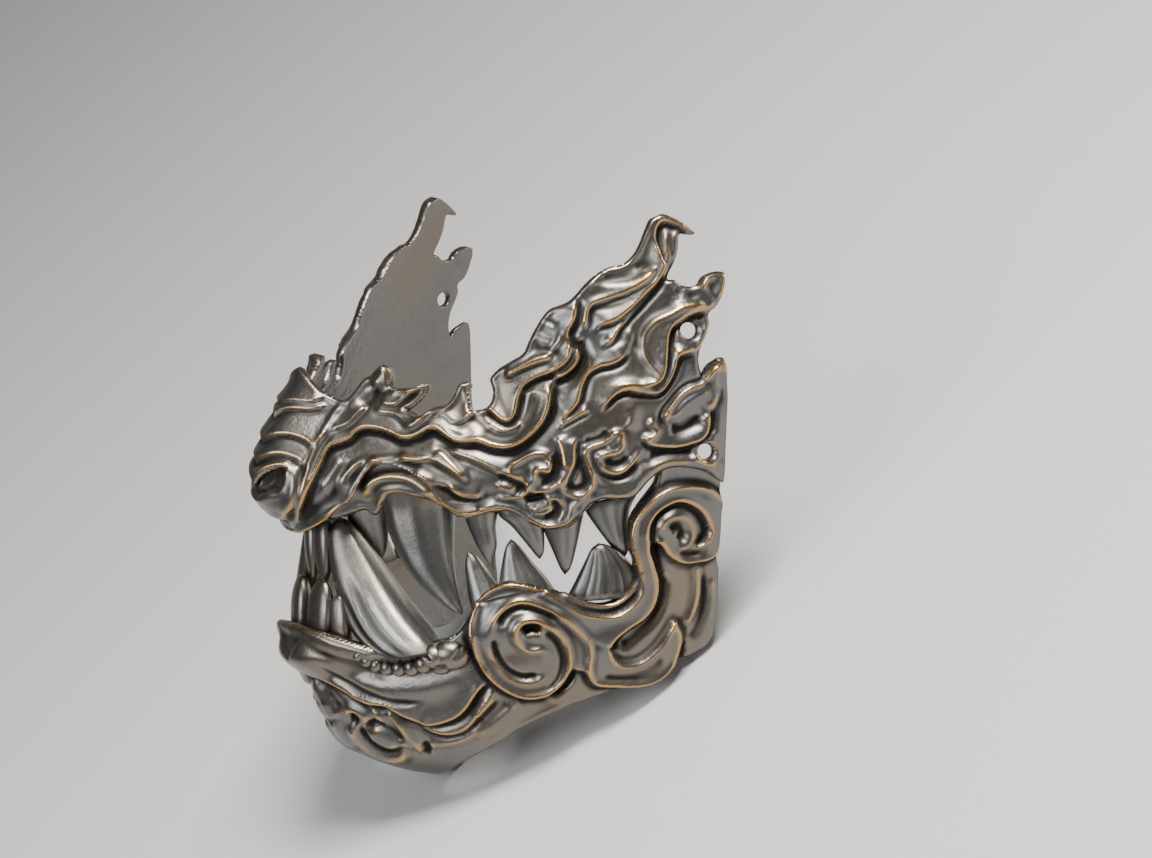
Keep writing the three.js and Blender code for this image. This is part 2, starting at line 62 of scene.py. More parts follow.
def section(v):
    last = len(SECTIONS) - 1
    i = np.clip(np.floor(v).astype(int), 0, last - 1)
    t = (v - i)[..., None]
    p0, p1 = SECTIONS[np.clip(i - 1, 0, last)], SECTIONS[i]
    p2, p3 = SECTIONS[i + 1], SECTIONS[np.clip(i + 2, 0, last)]
    return 0.5 * (2 * p1 + (p2 - p0) * t + (2 * p0 - 5 * p1 + 4 * p2 - p3) * t * t + (3 * p1 - p0 - 3 * p2 + p3) * t ** 3)


def face(u, v):
    """Points of the face surface: u is 0 at the centre line and 1 at the rear plane, v counts sections."""
    u, v = np.broadcast_arrays(np.asarray(u, float), np.asarray(v, float))
    yF, zF, zR, W, n, r, b, m = np.moveaxis(section(v), -1, 0)
    th = np.abs(u) * math.pi / 2
    X = np.sin(th) ** (2 / n)
    C = np.maximum(0, np.cos(th)) ** (2 / n)
    x = W * np.sqrt(X * X + 2 * r * X) / np.sqrt(1 + 2 * r)
    y = REAR_Y - (REAR_Y - yF - b) * C - b * np.exp(-((x / m) ** 2))
    z = zF + (zR - zF) * (y - yF) / (REAR_Y - yF)
    return np.stack([np.sign(u) * x, y, z], -1)


def normal(u, v):
    e = 0.004
    a = np.minimum(np.abs(u), 1 - 2 * e)
    near = a < e
    back = face(np.where(near, e, a - e), v)
    back[..., 0] = np.where(near, -back[..., 0], back[..., 0])
    du = face(a + e, v) - back
    dv = face(a, np.minimum(TEMPLE, v + 0.15)) - face(a, np.maximum(0, v - 0.15))
    n = np.cross(du, dv)
    return n / np.linalg.norm(n, axis=-1, keepdims=True)


# ------------------------------------------------------------------ the three-quarter view that outlines are drawn in
AZ, EL = math.radians(60), math.radians(6)
BACK = np.array([math.sin(AZ) * math.cos(EL), -math.cos(AZ) * math.cos(EL), math.sin(EL)])
RIGHT = np.array([math.cos(AZ), math.sin(AZ), 0.0])
UP = np.cross(BACK, RIGHT)
DIST, PX = 1000.0, 3.6
EYE = RIGHT * 90.6 + UP * 93.4 + BACK * DIST


def seen(P):
    """Where the view shows points, in its own pixels (x right, y down)."""
    d = P - EYE
    k = -DIST / (d @ BACK)
    return np.stack([576 + PX * (d @ RIGHT) * k, 429 - PX * (d @ UP) * k], -1)


def at_depth(x, y, depth):
    """The point that the view shows at (x, y), at a distance along its axis."""
    x, y, depth = np.broadcast_arrays(*(np.asarray(a, float) for a in (x, y, depth)))
    q, w = (x - 576) / PX, (429 - y) / PX
    return EYE + (q[..., None] * RIGHT + w[..., None] * UP) * (depth / DIST)[..., None] - BACK * depth[..., None]


_lu, _lv = np.meshgrid(np.arange(0.02, 0.995, 0.01), np.arange(0.1, TEMPLE - 0.05, 0.1))
_lp = seen(face(_lu, _lv))


def on_face(x, y, depth=0.0):
    """(point, normal) of the left face surface at a pixel of the view, moved in by a depth."""
    k = np.argmin((_lp[..., 0] - x) ** 2 + (_lp[..., 1] - y) ** 2)
    u, v = _lu.flat[k], _lv.flat[k]
    for _ in range(10):
        e = 1e-3
        a, au, av = (seen(face(p, q)) for p, q in ((u, v), (u + e, v), (u, v + e)))
        J = np.stack([(au - a) / e, (av - a) / e], -1)
        s = np.linalg.lstsq(J, np.array([x, y]) - a, rcond=None)[0]
        u, v = float(np.clip(u + 0.7 * s[0], 0.004, 0.995)), float(np.clip(v + 0.7 * s[1], 0.02, TEMPLE - 0.02))
    n = normal(np.array(u), np.array(v))
    return face(u, v) - n * depth, n


def to_row(P):
    """Face frame in mm to the row frame in metres."""
    c, s = math.cos(LEAN), math.sin(LEAN)
    out = np.empty_like(P)
    out[..., 0] = P[..., 0]
    out[..., 1] = P[..., 1] * c + P[..., 2] * s - MIDDLE
    out[..., 2] = -P[..., 1] * s + P[..., 2] * c - LOWEST
    return out / 1000


# ------------------------------------------------------------------ curves and distances in the view
def smooth(points, step=2.0, closed=False):
    """Catmull-Rom curve through points, sampled about every step pixels."""
    p = np.array(points, float)
    n = len(p)
    if n < 3 and not closed:
        k = max(2, int(np.linalg.norm(p[-1] - p[0]) / step) + 1)
        return p[0] + (p[-1] - p[0]) * np.linspace(0, 1, k)[:, None]
    out = []
    for i in range(n if closed else n - 1):
        if closed:
            a, b, c, d = p[(i - 1) % n], p[i], p[(i + 1) % n], p[(i + 2) % n]
        else:
            b, c = p[i], p[i + 1]
            a = p[i - 1] if i else 2 * b - c
            d = p[i + 2] if i + 2 < n else 2 * c - b
        k = max(1, int(np.linalg.norm(c - b) / step))
        t = (np.arange(k) / k)[:, None]
        out.append(0.5 * (2 * b + (c - a) * t + (2 * a - 5 * b + 4 * c - d) * t * t + (3 * b - a - 3 * c + d) * t ** 3))
    if not closed:
        out.append(p[-1:])
    return np.concatenate(out)


def nearest(Q, line, reach=None):
    """Signed distance of points Q to a line (positive on its right as it runs, y down) and how far along."""
    best = np.full(len(Q), 1e9)
    side = np.zeros(len(Q))
    along = np.zeros(len(Q))
    seg = np.diff(line, axis=0)
    length = np.linalg.norm(seg, axis=1)
    start = np.concatenate([[0], np.cumsum(length)])
    for i in range(len(seg)):
        if length[i] < 1e-9:
            continue
        d = Q - line[i]
        t = np.clip((d @ seg[i]) / length[i] ** 2, 0, 1)
        r = d - t[:, None] * seg[i]
        dist = r[:, 0] ** 2 + r[:, 1] ** 2
        hit = dist < best
        best[hit] = dist[hit]
        side[hit] = (-seg[i, 1] * d[hit, 0] + seg[i, 0] * d[hit, 1])
        along[hit] = (start[i] + t[hit] * length[i]) / start[-1]
    return np.sqrt(best) * np.where(side >= 0, 1, -1), along


def inside(Q, poly):
    """Signed distance to a closed outline, negative inside."""
    loop = np.vstack([poly, poly[:1]])
    d, _ = nearest(Q, loop)
    x, y = Q[:, 0], Q[:, 1]
    odd = np.zeros(len(Q), bool)
    for a, b in zip(loop[:-1], loop[1:]):
        if a[1] == b[1]:
            continue
        cross = (a[1] > y) != (b[1] > y)
        odd ^= cross & (x < (b[0] - a[0]) * (y - a[1]) / (b[1] - a[1]) + a[0])
    return np.where(odd, -np.abs(d), np.abs(d))


def ease(x):
    x = np.clip(x, 0, 1)
    return x * x * (3 - 2 * x)


def relief(Q, strokes):
    """Height in mm that a table of strokes gives at points Q of the view."""
    out = np.zeros(len(Q))
    for kind, par, pts in strokes:
        line = smooth(pts)
        reach = 5 * max(par[2], par[4]) if kind == "step" else 4 * par[1]
        near = np.all((Q > line.min(0) - reach) & (Q < line.max(0) + reach), axis=1)
        if not near.any():
            continue
        d, t = nearest(Q[near], line)
        if kind == "step":
            side, H, w, foot, fw, t0, t1 = par
            s = d * side
            # a tongue that rises softly to its edge and drops there
            h = H * np.clip(1 - s / (3.4 * w), 0, 1) ** 1.7 * ease((s + 1.3) / 2.6)
            h = h - foot * H * np.exp(-(((s + 1.6) / fw) ** 2)) * ease((1.5 - s) / 2)
        elif kind == "ridge":
            H, w, t0, t1 = par
            h = H * np.exp(-((d / w) ** 2))
        else:
            H, w, t0, t1 = par
            h = -H * np.exp(-((d / w) ** 2))
        if t0:
            h = h * ease(t / t0 + (0.0 if len(pts) > 2 else 0.3))
        if t1:
            h = h * ease((1 - t) / t1)
        out[near] += h
    return out


def blur(a, k, passes=2):
    """Box blur of a grid, with its edge held."""
    for _ in range(passes):
        for axis in (0, 1):
            p = np.concatenate([np.repeat(np.take(a, [0], axis), k, axis), a, np.repeat(np.take(a, [-1], axis), k, axis)], axis)
            c = np.cumsum(np.insert(p, 0, 0, axis=axis), axis=axis)
            n = a.shape[axis]
            a = (np.take(c, np.arange(2 * k + 1, 2 * k + 1 + n), axis) - np.take(c, np.arange(n), axis)) / (2 * k + 1)
    return a


# ------------------------------------------------------------------ tables drawn in the view
UPPER_TOP = [
    (215, 258), (262, 302), (295, 343), (300, 355), (307, 371), (316, 384), (325, 392.5), (340, 401), (348, 401), (356, 393), (366, 380.6), (374, 376),
    (380, 370), (389, 366.5), (395, 371), (397, 381), (396, 388), (403, 389.5), (410, 390), (420, 389), (431, 384.6),
    (430, 393), (422, 403.6), (416, 408.7), (411, 411), (418.6, 413.8), (425, 417.6), (431, 413.8), (440, 408),
    (450, 406), (456, 399), (460, 390), (463, 384.5), (470, 382.5), (473.5, 385.5), (471, 391), (472.7, 401), (474, 411), (480, 410.5),
    (489, 408), (494, 401), (495, 391), (493, 384), (492, 379), (497, 372.7), (503, 367.5), (513, 361.7), (524.8, 354),
    (529.8, 342.6), (535.6, 331), (543.8, 317.7), (551, 310), (561, 306), (569.6, 302), (576, 296), (582.8, 288),
    (589.5, 281), (599.4, 273), (609.4, 268), (621, 265.5), (627.6, 260.5), (634, 253), (639, 243), (644, 230),
    (647.5, 221.6), (653, 216.6), (661, 215.4), (670.7, 219), (682, 225.7), (693.5, 234.5), (686, 235), (678, 234.5),
    (676.5, 242), (675.7, 252), (672.4, 263), (667.4, 273), (666, 280), (672.4, 280.5), (679, 285.4), (689, 287),
    (695.6, 284.6), (699, 278), (705.5, 274), (712, 272), (719, 273), (721, 278), (719, 286), (717, 296), (713, 306),
    (705, 314), (706, 322.7), (703, 332.7), (697.5, 346), (695.6, 359), (697, 369), (699.7, 373), (704, 366), (709, 361.7),
    (719, 357), (722, 366), (724, 386), (728, 414), (730, 450), (730, 484),
]
UPPER_BOTTOM = [
    (717.6, 480), (709.6, 474), (700, 469), (687, 466.6), (674.5, 465.7), (663, 467.8), (654, 472.5), (646, 479.7), (638, 489),
    (631.5, 495), (623.5, 496.5), (613, 496.8), (603, 496.5), (593, 499.7), (588, 504), (582, 511.6), (574, 519), (566, 524),
    (556.5, 526.5), (547, 526.8), (539, 524), (531, 519.6), (521, 512), (512, 507), (501, 505), (489.6, 506), (480, 508),
    (468.6, 510), (456, 507), (444, 497), (432, 483), (415.5, 472.7), (399, 466.5), (386, 464.5), (376, 466.5), (368, 473), (362, 481),
    (354, 493), (342, 503), (330, 513.5), (313.5, 521.6), (301, 527), (295, 526), (291, 514), (277, 512), (262, 508), (250, 500), (215, 490),
]
NOSTRIL = [(260.5, 490), (262, 482.5), (270.6, 473.7), (281, 469.6), (288.5, 469.5), (287, 477.6), (282.5, 487), (273, 489), (263.6, 492)]
STRAP_HOLES = [((686.5, 330.5), 8.2), ((702.5, 450.5), 8.0)]
JAW_SHAPE = [
    (215, 640), (272, 634), (281, 627.5), (289, 623), (297, 622), (304, 625.5), (316, 630), (327, 635), (337, 639), (350, 643), (373, 650), (401, 652.5), (430, 645), (453.5, 636.7), (467, 619),
    (474, 606.5), (487, 590), (505.5, 582), (524, 583), (542.5, 589), (560, 590), (581, 601), (603, 604.6), (622, 597), (634, 579),
    (633, 557.5), (629, 539.5), (630.2, 521), (639.5, 505), (654, 486.5), (671, 458), (735, 455), (735, 631), (716.5, 636),
    (703.6, 650), (668.7, 668), (624.5, 688), (560.5, 710), (525, 727), (505, 740.5), (488, 750.5), (474, 758.5), (464, 764), (455, 769.5), (444, 775.5), (428, 782), (400, 790), (215, 804),
]
SCROLL_SHAPE = [
    (468, 632), (469, 623), (474, 606.5), (487, 590), (505.5, 582), (524, 583), (542.5, 589), (561, 598), (579.5, 609), (594, 613),
    (613, 613), (627.5, 605.5), (637, 594), (638.6, 578), (634, 562), (628.5, 545), (629, 529), (636, 513), (649, 498), (665, 487),
    (685, 483), (703, 485), (716, 492), (723, 503), (723, 530), (712, 556), (696, 562), (681, 563), (668, 556), (659, 545), (650.5, 548),
    (655.5, 566), (659.5, 584), (655.5, 603), (644.5, 618), (628, 630), (615, 641), (611, 650), (617, 661), (628, 663), (640, 660),
    (652, 651), (663, 639), (674, 619), (680, 637), (676, 653), (669, 668), (657, 678.5), (639, 685), (617, 685.6), (597, 685), (589, 678),
    (583, 672), (571, 672), (564, 680), (555, 690), (541, 696.5), (524, 697.5), (505, 690), (487, 675.5), (475, 656), (470, 641),
]
GUM_SHAPE = [
    (215, 486), (329, 494), (358, 470), (387, 454), (423, 458), (452, 483), (502, 487), (552, 503), (596, 480), (624, 466), (632, 494),
    (599, 502), (586, 512), (574, 525), (560, 533), (550, 531), (528, 524), (512, 512.5), (498, 512), (486, 514), (470, 519), (457, 518),
    (446, 510), (431, 503), (414, 498), (396, 498.5), (384, 504), (378, 515), (372, 517), (364, 512), (352, 516), (334, 522), (310, 519), (215, 519),
]
UPPER_STROKES = [
    ("step", (-1, 0.9, 7, 0.4, 2.6, 0.12, 0.12), [(284, 410.6), (296.1, 405.5), (306.3, 405.5), (316.5, 405.5), (326.7, 400.4)]),
    ("step", (-1, 1.1, 9, 0.4, 2.6, 0.12, 0.12), [(259.1, 456.5), (269.3, 436.7), (278.3, 425.3), (287.2, 416.3), (296.1, 413.1), (312.7, 413.1), (322.9, 411.2), (331.2, 408.9)]),
    ("step", (-1, 1.3, 10, 0.4, 2.6, 0.12, 0.12), [(267.4, 448.9), (277, 440.6), (288.5, 438), (299.9, 439.9), (310.2, 445), (315.9, 452.7)]),
    ("step", (-1, 1.2, 8, 0.4, 2.6, 0.12, 0.12), [(261, 469.3), (269.3, 461), (280.8, 457.1), (291, 458.4), (299.9, 462.2), (307, 467.1)]),
    ("ridge", (0.8, 4.5, 0.02, 0.1), [(296.1, 362.1), (288.5, 379.3), (277, 404.8), (265.5, 426.5), (256.6, 446.9), (252.8, 464.8), (249.6, 483.9), (250.2, 495.4)]),
    ("ridge", (0.9, 7, 0.12, 0.12), [(283.4, 478.8), (291, 472.4), (297.4, 478.8), (298, 490.3), (291, 500.5), (283.4, 506.9)]),
    ("ridge", (0.7, 5, 0.12, 0.12), [(261.7, 490.3), (264.2, 478.8), (271.9, 469.9), (282.1, 465.4), (293.6, 468)]),
    ("groove", (1.2, 3.4, 0.1, 0.05), [(308.2, 465.4), (304.4, 477.6), (301.9, 490.3), (298.9, 504.3), (290.4, 513.3)]),
    ("ridge", (0.7, 3.2, 0.1, 0.05), [(348.4, 404.2), (336.9, 416.3), (329.3, 430.4), (319.1, 450.8), (309.5, 475), (304.4, 491.6), (300.6, 514.5)]),
    ("groove", (0.7, 3, 0.15, 0.15), [(336.9, 431.6), (328, 445.7), (319.1, 462.2), (311.4, 480.1), (306.3, 496.7), (303.8, 514.5)]),
    ("step", (-1, 0.9, 6, 0.4, 2.6, 0.12, 0.12), [(334.4, 432.9), (345.9, 430.4), (354.8, 426.5), (362.4, 418.9), (372, 409.3)]),
    ("ridge", (0.6, 5, 0.12, 0.12), [(352.2, 409.9), (361.2, 401), (367.6, 393.4), (375.2, 385.7)]),
    ("ridge", (2.2, 7.5, 0, 0), [(384.1, 384.4), (388.6, 378.1), (389.9, 371.7)]),
    ("step", (-1, 1.2, 6, 0.4, 2.6, 0.12, 0.12), [(384.1, 406.1), (391.8, 408), (402, 407.4), (409.6, 401), (418.6, 394.6), (430.1, 386.4)]),
    ("ridge", (0.7, 4, 0.12, 0.12), [(385.4, 397.2), (395.6, 398.5), (404.5, 392.1), (416, 390.8), (430.1, 386.4)]),
    ("groove", (0.8, 4, 0.15, 0.15), [(379, 389.5), (381.6, 393.4), (376.5, 401), (368.8, 409.9)]),
    ("step", (-1, 0.9, 8, 0.4, 2.6, 0.12, 0.12), [(377.8, 409.9), (384.1, 415.1), (396.9, 416.3), (405.8, 421.4), (413.5, 429.1), (422.4, 426.5), (440, 409.9)]),
    ("step", (-1, 2.3, 13, 0.35, 9, 0.06, 0.04), [(301, 518), (305, 503), (313, 486.5), (322, 471), (329, 456), (334, 449.5), (345, 446), (355, 442), (361, 435.5), (370, 432), (384, 433), (396, 437), (404.5, 441), (415, 441), (425, 437), (436, 431.6), (447, 437), (457, 443), (467, 444.6), (480, 444), (492, 448), (504, 450), (516, 448), (527, 442), (538, 432), (547, 420), (551.5, 406), (553, 389.5), (551, 380)]),
    ("ridge", (0.8, 3.6, 0.12, 0.12), [(400, 435.4), (413.8, 443.1), (426, 436.9), (436.7, 426.2), (445.9, 427.8), (456.6, 440), (467.4, 443.1), (482.7, 441.5), (494.9, 446.1), (510.2, 447.7), (525.5, 440), (537.8, 427.8), (546.9, 412.5), (551.5, 397.1), (553.1, 381.8)]),
    ("ridge", (0.6, 3, 0.12, 0.12), [(409.2, 426.2), (419.9, 427.8), (432.1, 420.1), (442.9, 418.6), (450.5, 423.2), (461.2, 432.4), (473.5, 435.4)]),
    ("step", (-1, 0.8, 6, 0.4, 2.6, 0.2, 0.1), [(438.3, 420.1), (447.5, 417), (458.2, 424.7), (468.9, 421.6), (479.6, 410.2)]),
    ("ridge", (0.6, 4, 0.12, 0.12), [(445.9, 407.9), (453.6, 403.3), (458.2, 394.1), (461.2, 388), (467.4, 384.1)]),
    ("groove", (0.9, 5, 0.15, 0.15), [(485.7, 427.8), (498, 436.9), (513.3, 436.9), (522.5, 427.8), (530.1, 415.5), (534.7, 403.3), (537.8, 388)]),
    ("ridge", (0.5, 4, 0.12, 0.12), [(491.8, 421.6), (504.1, 429.3), (516.3, 427.8), (522.5, 421.6)]),
    ("groove", (0.5, 5, 0.15, 0.15), [(471.9, 417), (482.7, 424.7), (491.8, 436.9)]),
    ("step", (-1, 1.2, 8, 0.4, 2.6, 0.12, 0.12), [(505.6, 375), (511.7, 376.5), (522.5, 371.1), (537.8, 365), (554.6, 359.6)]),
    ("ridge", (0.8, 3.4, 0.12, 0.12), [(504.1, 371.1), (513.3, 373.4), (522.5, 368.1), (537.8, 359.6), (550, 355.8), (554.6, 348.2), (560.7, 340.5), (562.3, 328.3)]),
    ("step", (1, 1.9, 10, 0.5, 4, 0.05, 0.1), [(576.8, 301), (578.3, 309.9), (576.8, 320.6), (570.2, 333.6), (572.2, 342.8), (572.7, 354.3), (566.8, 364.2), (553.1, 373.4), (537.8, 379.5), (526.3, 387.2), (521.7, 398.7), (517.9, 415.5), (510.2, 423.2), (501, 420.1), (490.3, 410.9), (479.6, 409.4)]),
    ("step", (1, 1.6, 6, 1, 7, 0.12, 0.12), [(574.5, 340.5), (580.3, 351.2), (578.8, 363.5), (566.8, 375.7), (553.1, 380.3)]),
    ("groove", (0.6, 3.4, 0.15, 0.15), [(543.9, 319.1), (553.1, 322.1), (559.2, 326.7)]),
    ("ridge", (0.5, 4, 0.12, 0.12), [(537.8, 335.9), (546.9, 340.5), (553.1, 343.6)]),
    ("groove", (0.5, 5, 0.15, 0.15), [(534.7, 348.2), (550, 351.2), (562.3, 354.3)]),
    ("ridge", (0.5, 5, 0.12, 0.12), [(522.5, 397.1), (528.6, 388), (542.4, 383.4), (551.5, 384.9)]),
    ("step", (1, 1.5, 10, 0.55, 4, 0.05, 0.1), [(687.7, 231.8), (676.1, 226.8), (667.1, 223.8), (660.9, 224.1), (656.4, 228.6), (655, 236.6), (656.4, 246.4), (660, 258), (662.9, 268.8), (652.9, 285.7), (638.6, 301.8), (626.1, 314.3), (613.6, 323.2), (601.1, 326.8), (593.9, 333.9)]),
    ("step", (1, 1.3, 7, 0.5, 3.4, 0.12, 0.12), [(660.9, 236.6), (666.2, 250.9), (667.1, 262.5), (662.1, 276.8), (645.7, 300), (629.6, 317.9), (618.9, 330.4), (613.6, 341.1), (599.3, 348.6)]),
    ("ridge", (0.7, 3.2, 0.12, 0.12), [(660, 233.9), (665.4, 242.9), (668, 253.6), (667.1, 266.1), (660, 278.6), (645.7, 294.6)]),
    ("step", (1, 1.5, 11, 0.5, 3.2, 0.12, 0.12), [(652.9, 266.1), (653.8, 272.3), (649.3, 279.8), (636.8, 289.3), (622.5, 296.4), (606.4, 301.8), (594.8, 305.7), (590, 311.6), (588.6, 323.2), (586.8, 333)]),
    ("step", (1, 0.7, 4, 0.4, 2.6, 0.12, 0.12), [(654.6, 279.5), (643.9, 290.5), (631.4, 298.6), (613.6, 305.7), (597.9, 308.6), (591.8, 314.3)]),
    ("groove", (0.6, 7, 0.15, 0.15), [(595.7, 280.4), (618.9, 278.6), (636.8, 271.4), (645.7, 258.9), (650.2, 242.9), (652.9, 230.4)]),
    ("ridge", (0.6, 5, 0.12, 0.12), [(586.8, 290.2), (604.6, 287.5), (626.1, 285.7), (642.1, 278.6), (651.1, 267.9)]),
    ("ridge", (0.6, 6, 0.12, 0.12), [(577.9, 300), (586.8, 292.9), (593.9, 283.9), (604.6, 275)]),
    ("ridge", (1.1, 4.2, 0.12, 0.12), [(719.8, 273.2), (710, 274.1), (702.9, 280.4), (700.2, 289.3), (705.5, 300), (704.6, 305.4), (692.1, 305.7), (679.6, 308), (667.1, 314.3), (652.9, 321.4), (643.9, 332.1), (641.2, 342.9), (643, 353.6), (648.4, 364.3), (655.5, 372.3), (657.3, 378.6), (649.3, 383.9), (631.4, 383.9), (617.1, 385.7), (602.9, 392.9)]),
    ("step", (1, 2, 11, 0.45, 4, 0.12, 0.12), [(706.4, 310.7), (692.1, 314.3), (677.9, 321.4), (668.9, 330.4), (666.2, 342.9), (665, 357.1), (662.7, 373.2), (654.6, 383), (638.6, 387.5)]),
    ("step", (1, 1.6, 8, 0.45, 3.4, 0.12, 0.12), [(695.7, 351.8), (683.2, 353.9), (676.1, 357.1), (673.9, 366.1), (668, 380.4), (657.3, 392.9), (638.6, 392.9), (626.1, 391.1), (613.6, 396.4), (599.3, 412.9)]),
    ("ridge", (0.8, 5, 0.12, 0.12), [(702.9, 323.2), (702.9, 337.5), (695.7, 344.6), (685, 350), (676.1, 351.8), (668.9, 355.4)]),
    ("groove", (0.7, 6, 0.15, 0.15), [(670.7, 292.9), (683.2, 289.3), (692.1, 300)]),
    ("groove", (0.7, 8, 0.15, 0.15), [(674.3, 300), (652.9, 314.3), (636.8, 335.7), (635, 353.6)]),
    ("step", (1, 1.5, 9, 0.5, 3.4, 0.12, 0.12), [(627.9, 350), (622.9, 358.6), (613.6, 364.6), (599.3, 368.2), (588.6, 375), (583.2, 386.6), (579.3, 401.8), (570.7, 412.5), (560, 420.5)]),
    ("ridge", (0.6, 5, 0.12, 0.12), [(604.6, 335.7), (611.8, 342.9), (622.5, 348.2), (629.6, 339.3), (627.9, 328.6)]),
    ("step", (1, 1, 6, 0.5, 2.6, 0.12, 0.12), [(589.5, 411.2), (577.9, 417), (560, 427.7)]),
    ("groove", (0.6, 6, 0.15, 0.15), [(588.6, 348.2), (586.8, 360.7), (570.7, 383.9), (560, 400)]),
    ("ridge", (1.3, 7, 0, 0), [(715.4, 280.4), (717.1, 285.7), (715.4, 292.9)]),
    ("step", (-1, 1.1, 6, 0.5, 2.6, 0.12, 0.12), [(554.9, 437.5), (558.9, 447.8), (561, 460.6), (561.6, 468.9)]),
    ("step", (1, 1.1, 6, 0.6, 2.6, 0.12, 0.12), [(576.5, 437.5), (575.7, 452.6), (575.7, 463), (571.7, 470.2), (568.5, 477.3), (570.1, 483.7)]),
    ("ridge", (1.25, 3, 0.12, 0.12), [(568, 467.8), (562.6, 474.1), (562, 482.9), (566.9, 489.6), (577.3, 492), (586.8, 488.5), (591.6, 481.3), (590.3, 470.2), (585.9, 459), (585.2, 451), (590, 445.8), (599.6, 442.7), (607.6, 438.3), (613.1, 432.7), (618.4, 432.7), (621.3, 439.9), (620.3, 447.8), (614.7, 451.7), (604.4, 453.4), (597.7, 455.8), (598, 462.2), (605.2, 467.8), (614.7, 470.2), (623.5, 467), (631.5, 459), (637.8, 449.4), (640.2, 439.9)]),
    ("groove", (0.9, 4.2, 0.15, 0.15), [(578.9, 454.2), (582, 467), (583.6, 479.7), (577.3, 486.1), (570.9, 482.9), (571.7, 476.5)]),
    ("groove", (0.9, 4, 0.15, 0.15), [(628.3, 455.8), (620.3, 461.4), (610.7, 463), (602.8, 459.8)]),
    ("ridge", (0.9, 5, 0.2, 0), [(604.4, 447.8), (613.9, 444.6), (617.1, 438.3)]),
    ("groove", (0.8, 4, 0.15, 0.15), [(594.8, 452.6), (594.8, 463.8), (601.2, 472.5), (615.5, 475.7), (628.3, 470.2), (637.8, 459)]),
    ("ridge", (0.6, 4, 0.12, 0.12), [(591.6, 463.8), (598, 474.9), (609.1, 480.5), (620.3, 480.5), (631.5, 475.7), (639.4, 467), (649, 460.6)]),
    ("groove", (0.8, 5, 0.15, 0.15), [(607.6, 428.7), (601.2, 436.7), (590, 440.7), (582, 439.9)]),
    ("ridge", (1.2, 3.2, 0.12, 0.12), [(504.7, 468.6), (516.7, 463), (529.4, 455.8), (539, 453.4), (547, 455.8), (551.3, 463.8), (550.2, 470.2), (541.4, 468.6), (535.8, 472.5), (535, 478.1), (540.6, 481.6)]),
    ("step", (1, 1, 5, 0.8, 2.6, 0.12, 0.12), [(551.7, 460.6), (552.1, 468.6), (548.9, 471.4), (540.6, 469.5), (535.5, 473.7)]),
    ("groove", (1.1, 4.2, 0.15, 0.15), [(552.5, 452.6), (556.5, 463.8), (554.9, 473.3), (547, 478.9), (539.8, 478.9)]),
    ("ridge", (1, 3.2, 0.12, 0.12), [(504.7, 468.9), (513.5, 472.1), (522.3, 476.1), (527, 480.5), (526.2, 486.9), (520.7, 491.2), (508.7, 492.8), (495.9, 492.2)]),
    ("groove", (1, 3.6, 0.15, 0.15), [(497.5, 474.9), (508.7, 478.1), (519.9, 481.3), (520.7, 485.3), (511.9, 488.5)]),
    ("ridge", (0.9, 3, 0.12, 0.12), [(531, 476.2), (530.7, 482.9), (535.8, 486.9), (547, 485.3), (556.5, 480.5), (560.5, 473.3)]),
    ("ridge", (0.9, 3, 0.12, 0.12), [(496.7, 480.5), (505.5, 483.2), (514.8, 486.4), (514.3, 483.2), (503.9, 478.1)]),
    ("groove", (1.8, 3.4, 0.1, 0.1), [(525.4, 497.6), (534.2, 496), (543.8, 492.5)]),
    ("ridge", (1, 3.2, 0.12, 0.12), [(543.8, 495.3), (551.7, 493.8), (559.7, 496.9), (563.7, 505.2), (561.6, 514), (554.9, 519.9)]),
    ("ridge", (1, 3.4, 0.12, 0.12), [(531, 508.7), (540.6, 510), (547.8, 509.7), (551, 505.2), (548.6, 502.4), (541.4, 504.4), (531, 508.1)]),
    ("groove", (0.8, 4, 0.15, 0.15), [(551.7, 497.3), (556.5, 503.6), (554.9, 511.6), (543.8, 514.8)]),
    ("ridge", (1.2, 4, 0.02, 0.1), [(480, 504.4), (492.8, 500.8), (503.9, 502.5), (515.1, 508.4), (527.8, 517.7), (543.8, 524), (556.5, 524), (566.1, 519.3), (570.9, 511.6), (574.1, 502), (583.6, 495.7), (594.8, 493.3)]),
    ("ridge", (1.3, 5, 0.12, 0.12), [(591.6, 482.9), (601.2, 488), (615.5, 490.1), (628.3, 487.7), (636.2, 479.7), (644.2, 471), (655.4, 462.5), (668.1, 457.7), (684.1, 457.4), (700, 460.6), (711.2, 465.7), (717.6, 474.9)]),
    ("step", (-1, 1.4, 7, 0.5, 2.6, 0.02, 0.05), [(719.5, 357.8), (711.9, 361.6), (706.1, 367.3), (701.3, 375.9), (696.6, 381.7), (687, 384.5), (679.3, 389.3), (673.6, 395), (667.8, 402.7), (662.1, 410.4), (660.7, 417), (664.5, 422.8)]),
    ("groove", (0.7, 2.8, 0.1, 0.1), [(706, 377), (699, 386), (689, 391), (679, 398), (671, 408), (666, 418)]),
    ("ridge", (1.3, 6, 0.12, 0.12), [(716, 363), (711.5, 376), (712.8, 389), (709, 401), (701, 409.5)]),
    ("ridge", (0.9, 9, 0.12, 0.12), [(706, 387), (695, 396), (684, 404), (673, 413), (667, 421)]),
    ("step", (1, 1.5, 8, 0.5, 3, 0.05, 0.05), [(702.3, 409.4), (706.1, 414.2), (706.6, 421.9), (704.2, 431.4), (698.5, 438.1), (688.9, 442.9), (677.4, 446.3), (665.9, 447.2), (653.5, 446.3), (645.8, 443.9), (641, 438.1)]),
    ("groove", (1.4, 6, 0.15, 0.15), [(667, 429), (679, 428), (691, 422), (700, 417)]),
    ("groove", (0.7, 3, 0.1, 0.1), [(714.7, 383.6), (715.7, 397), (710.8, 414), (709.5, 433)]),
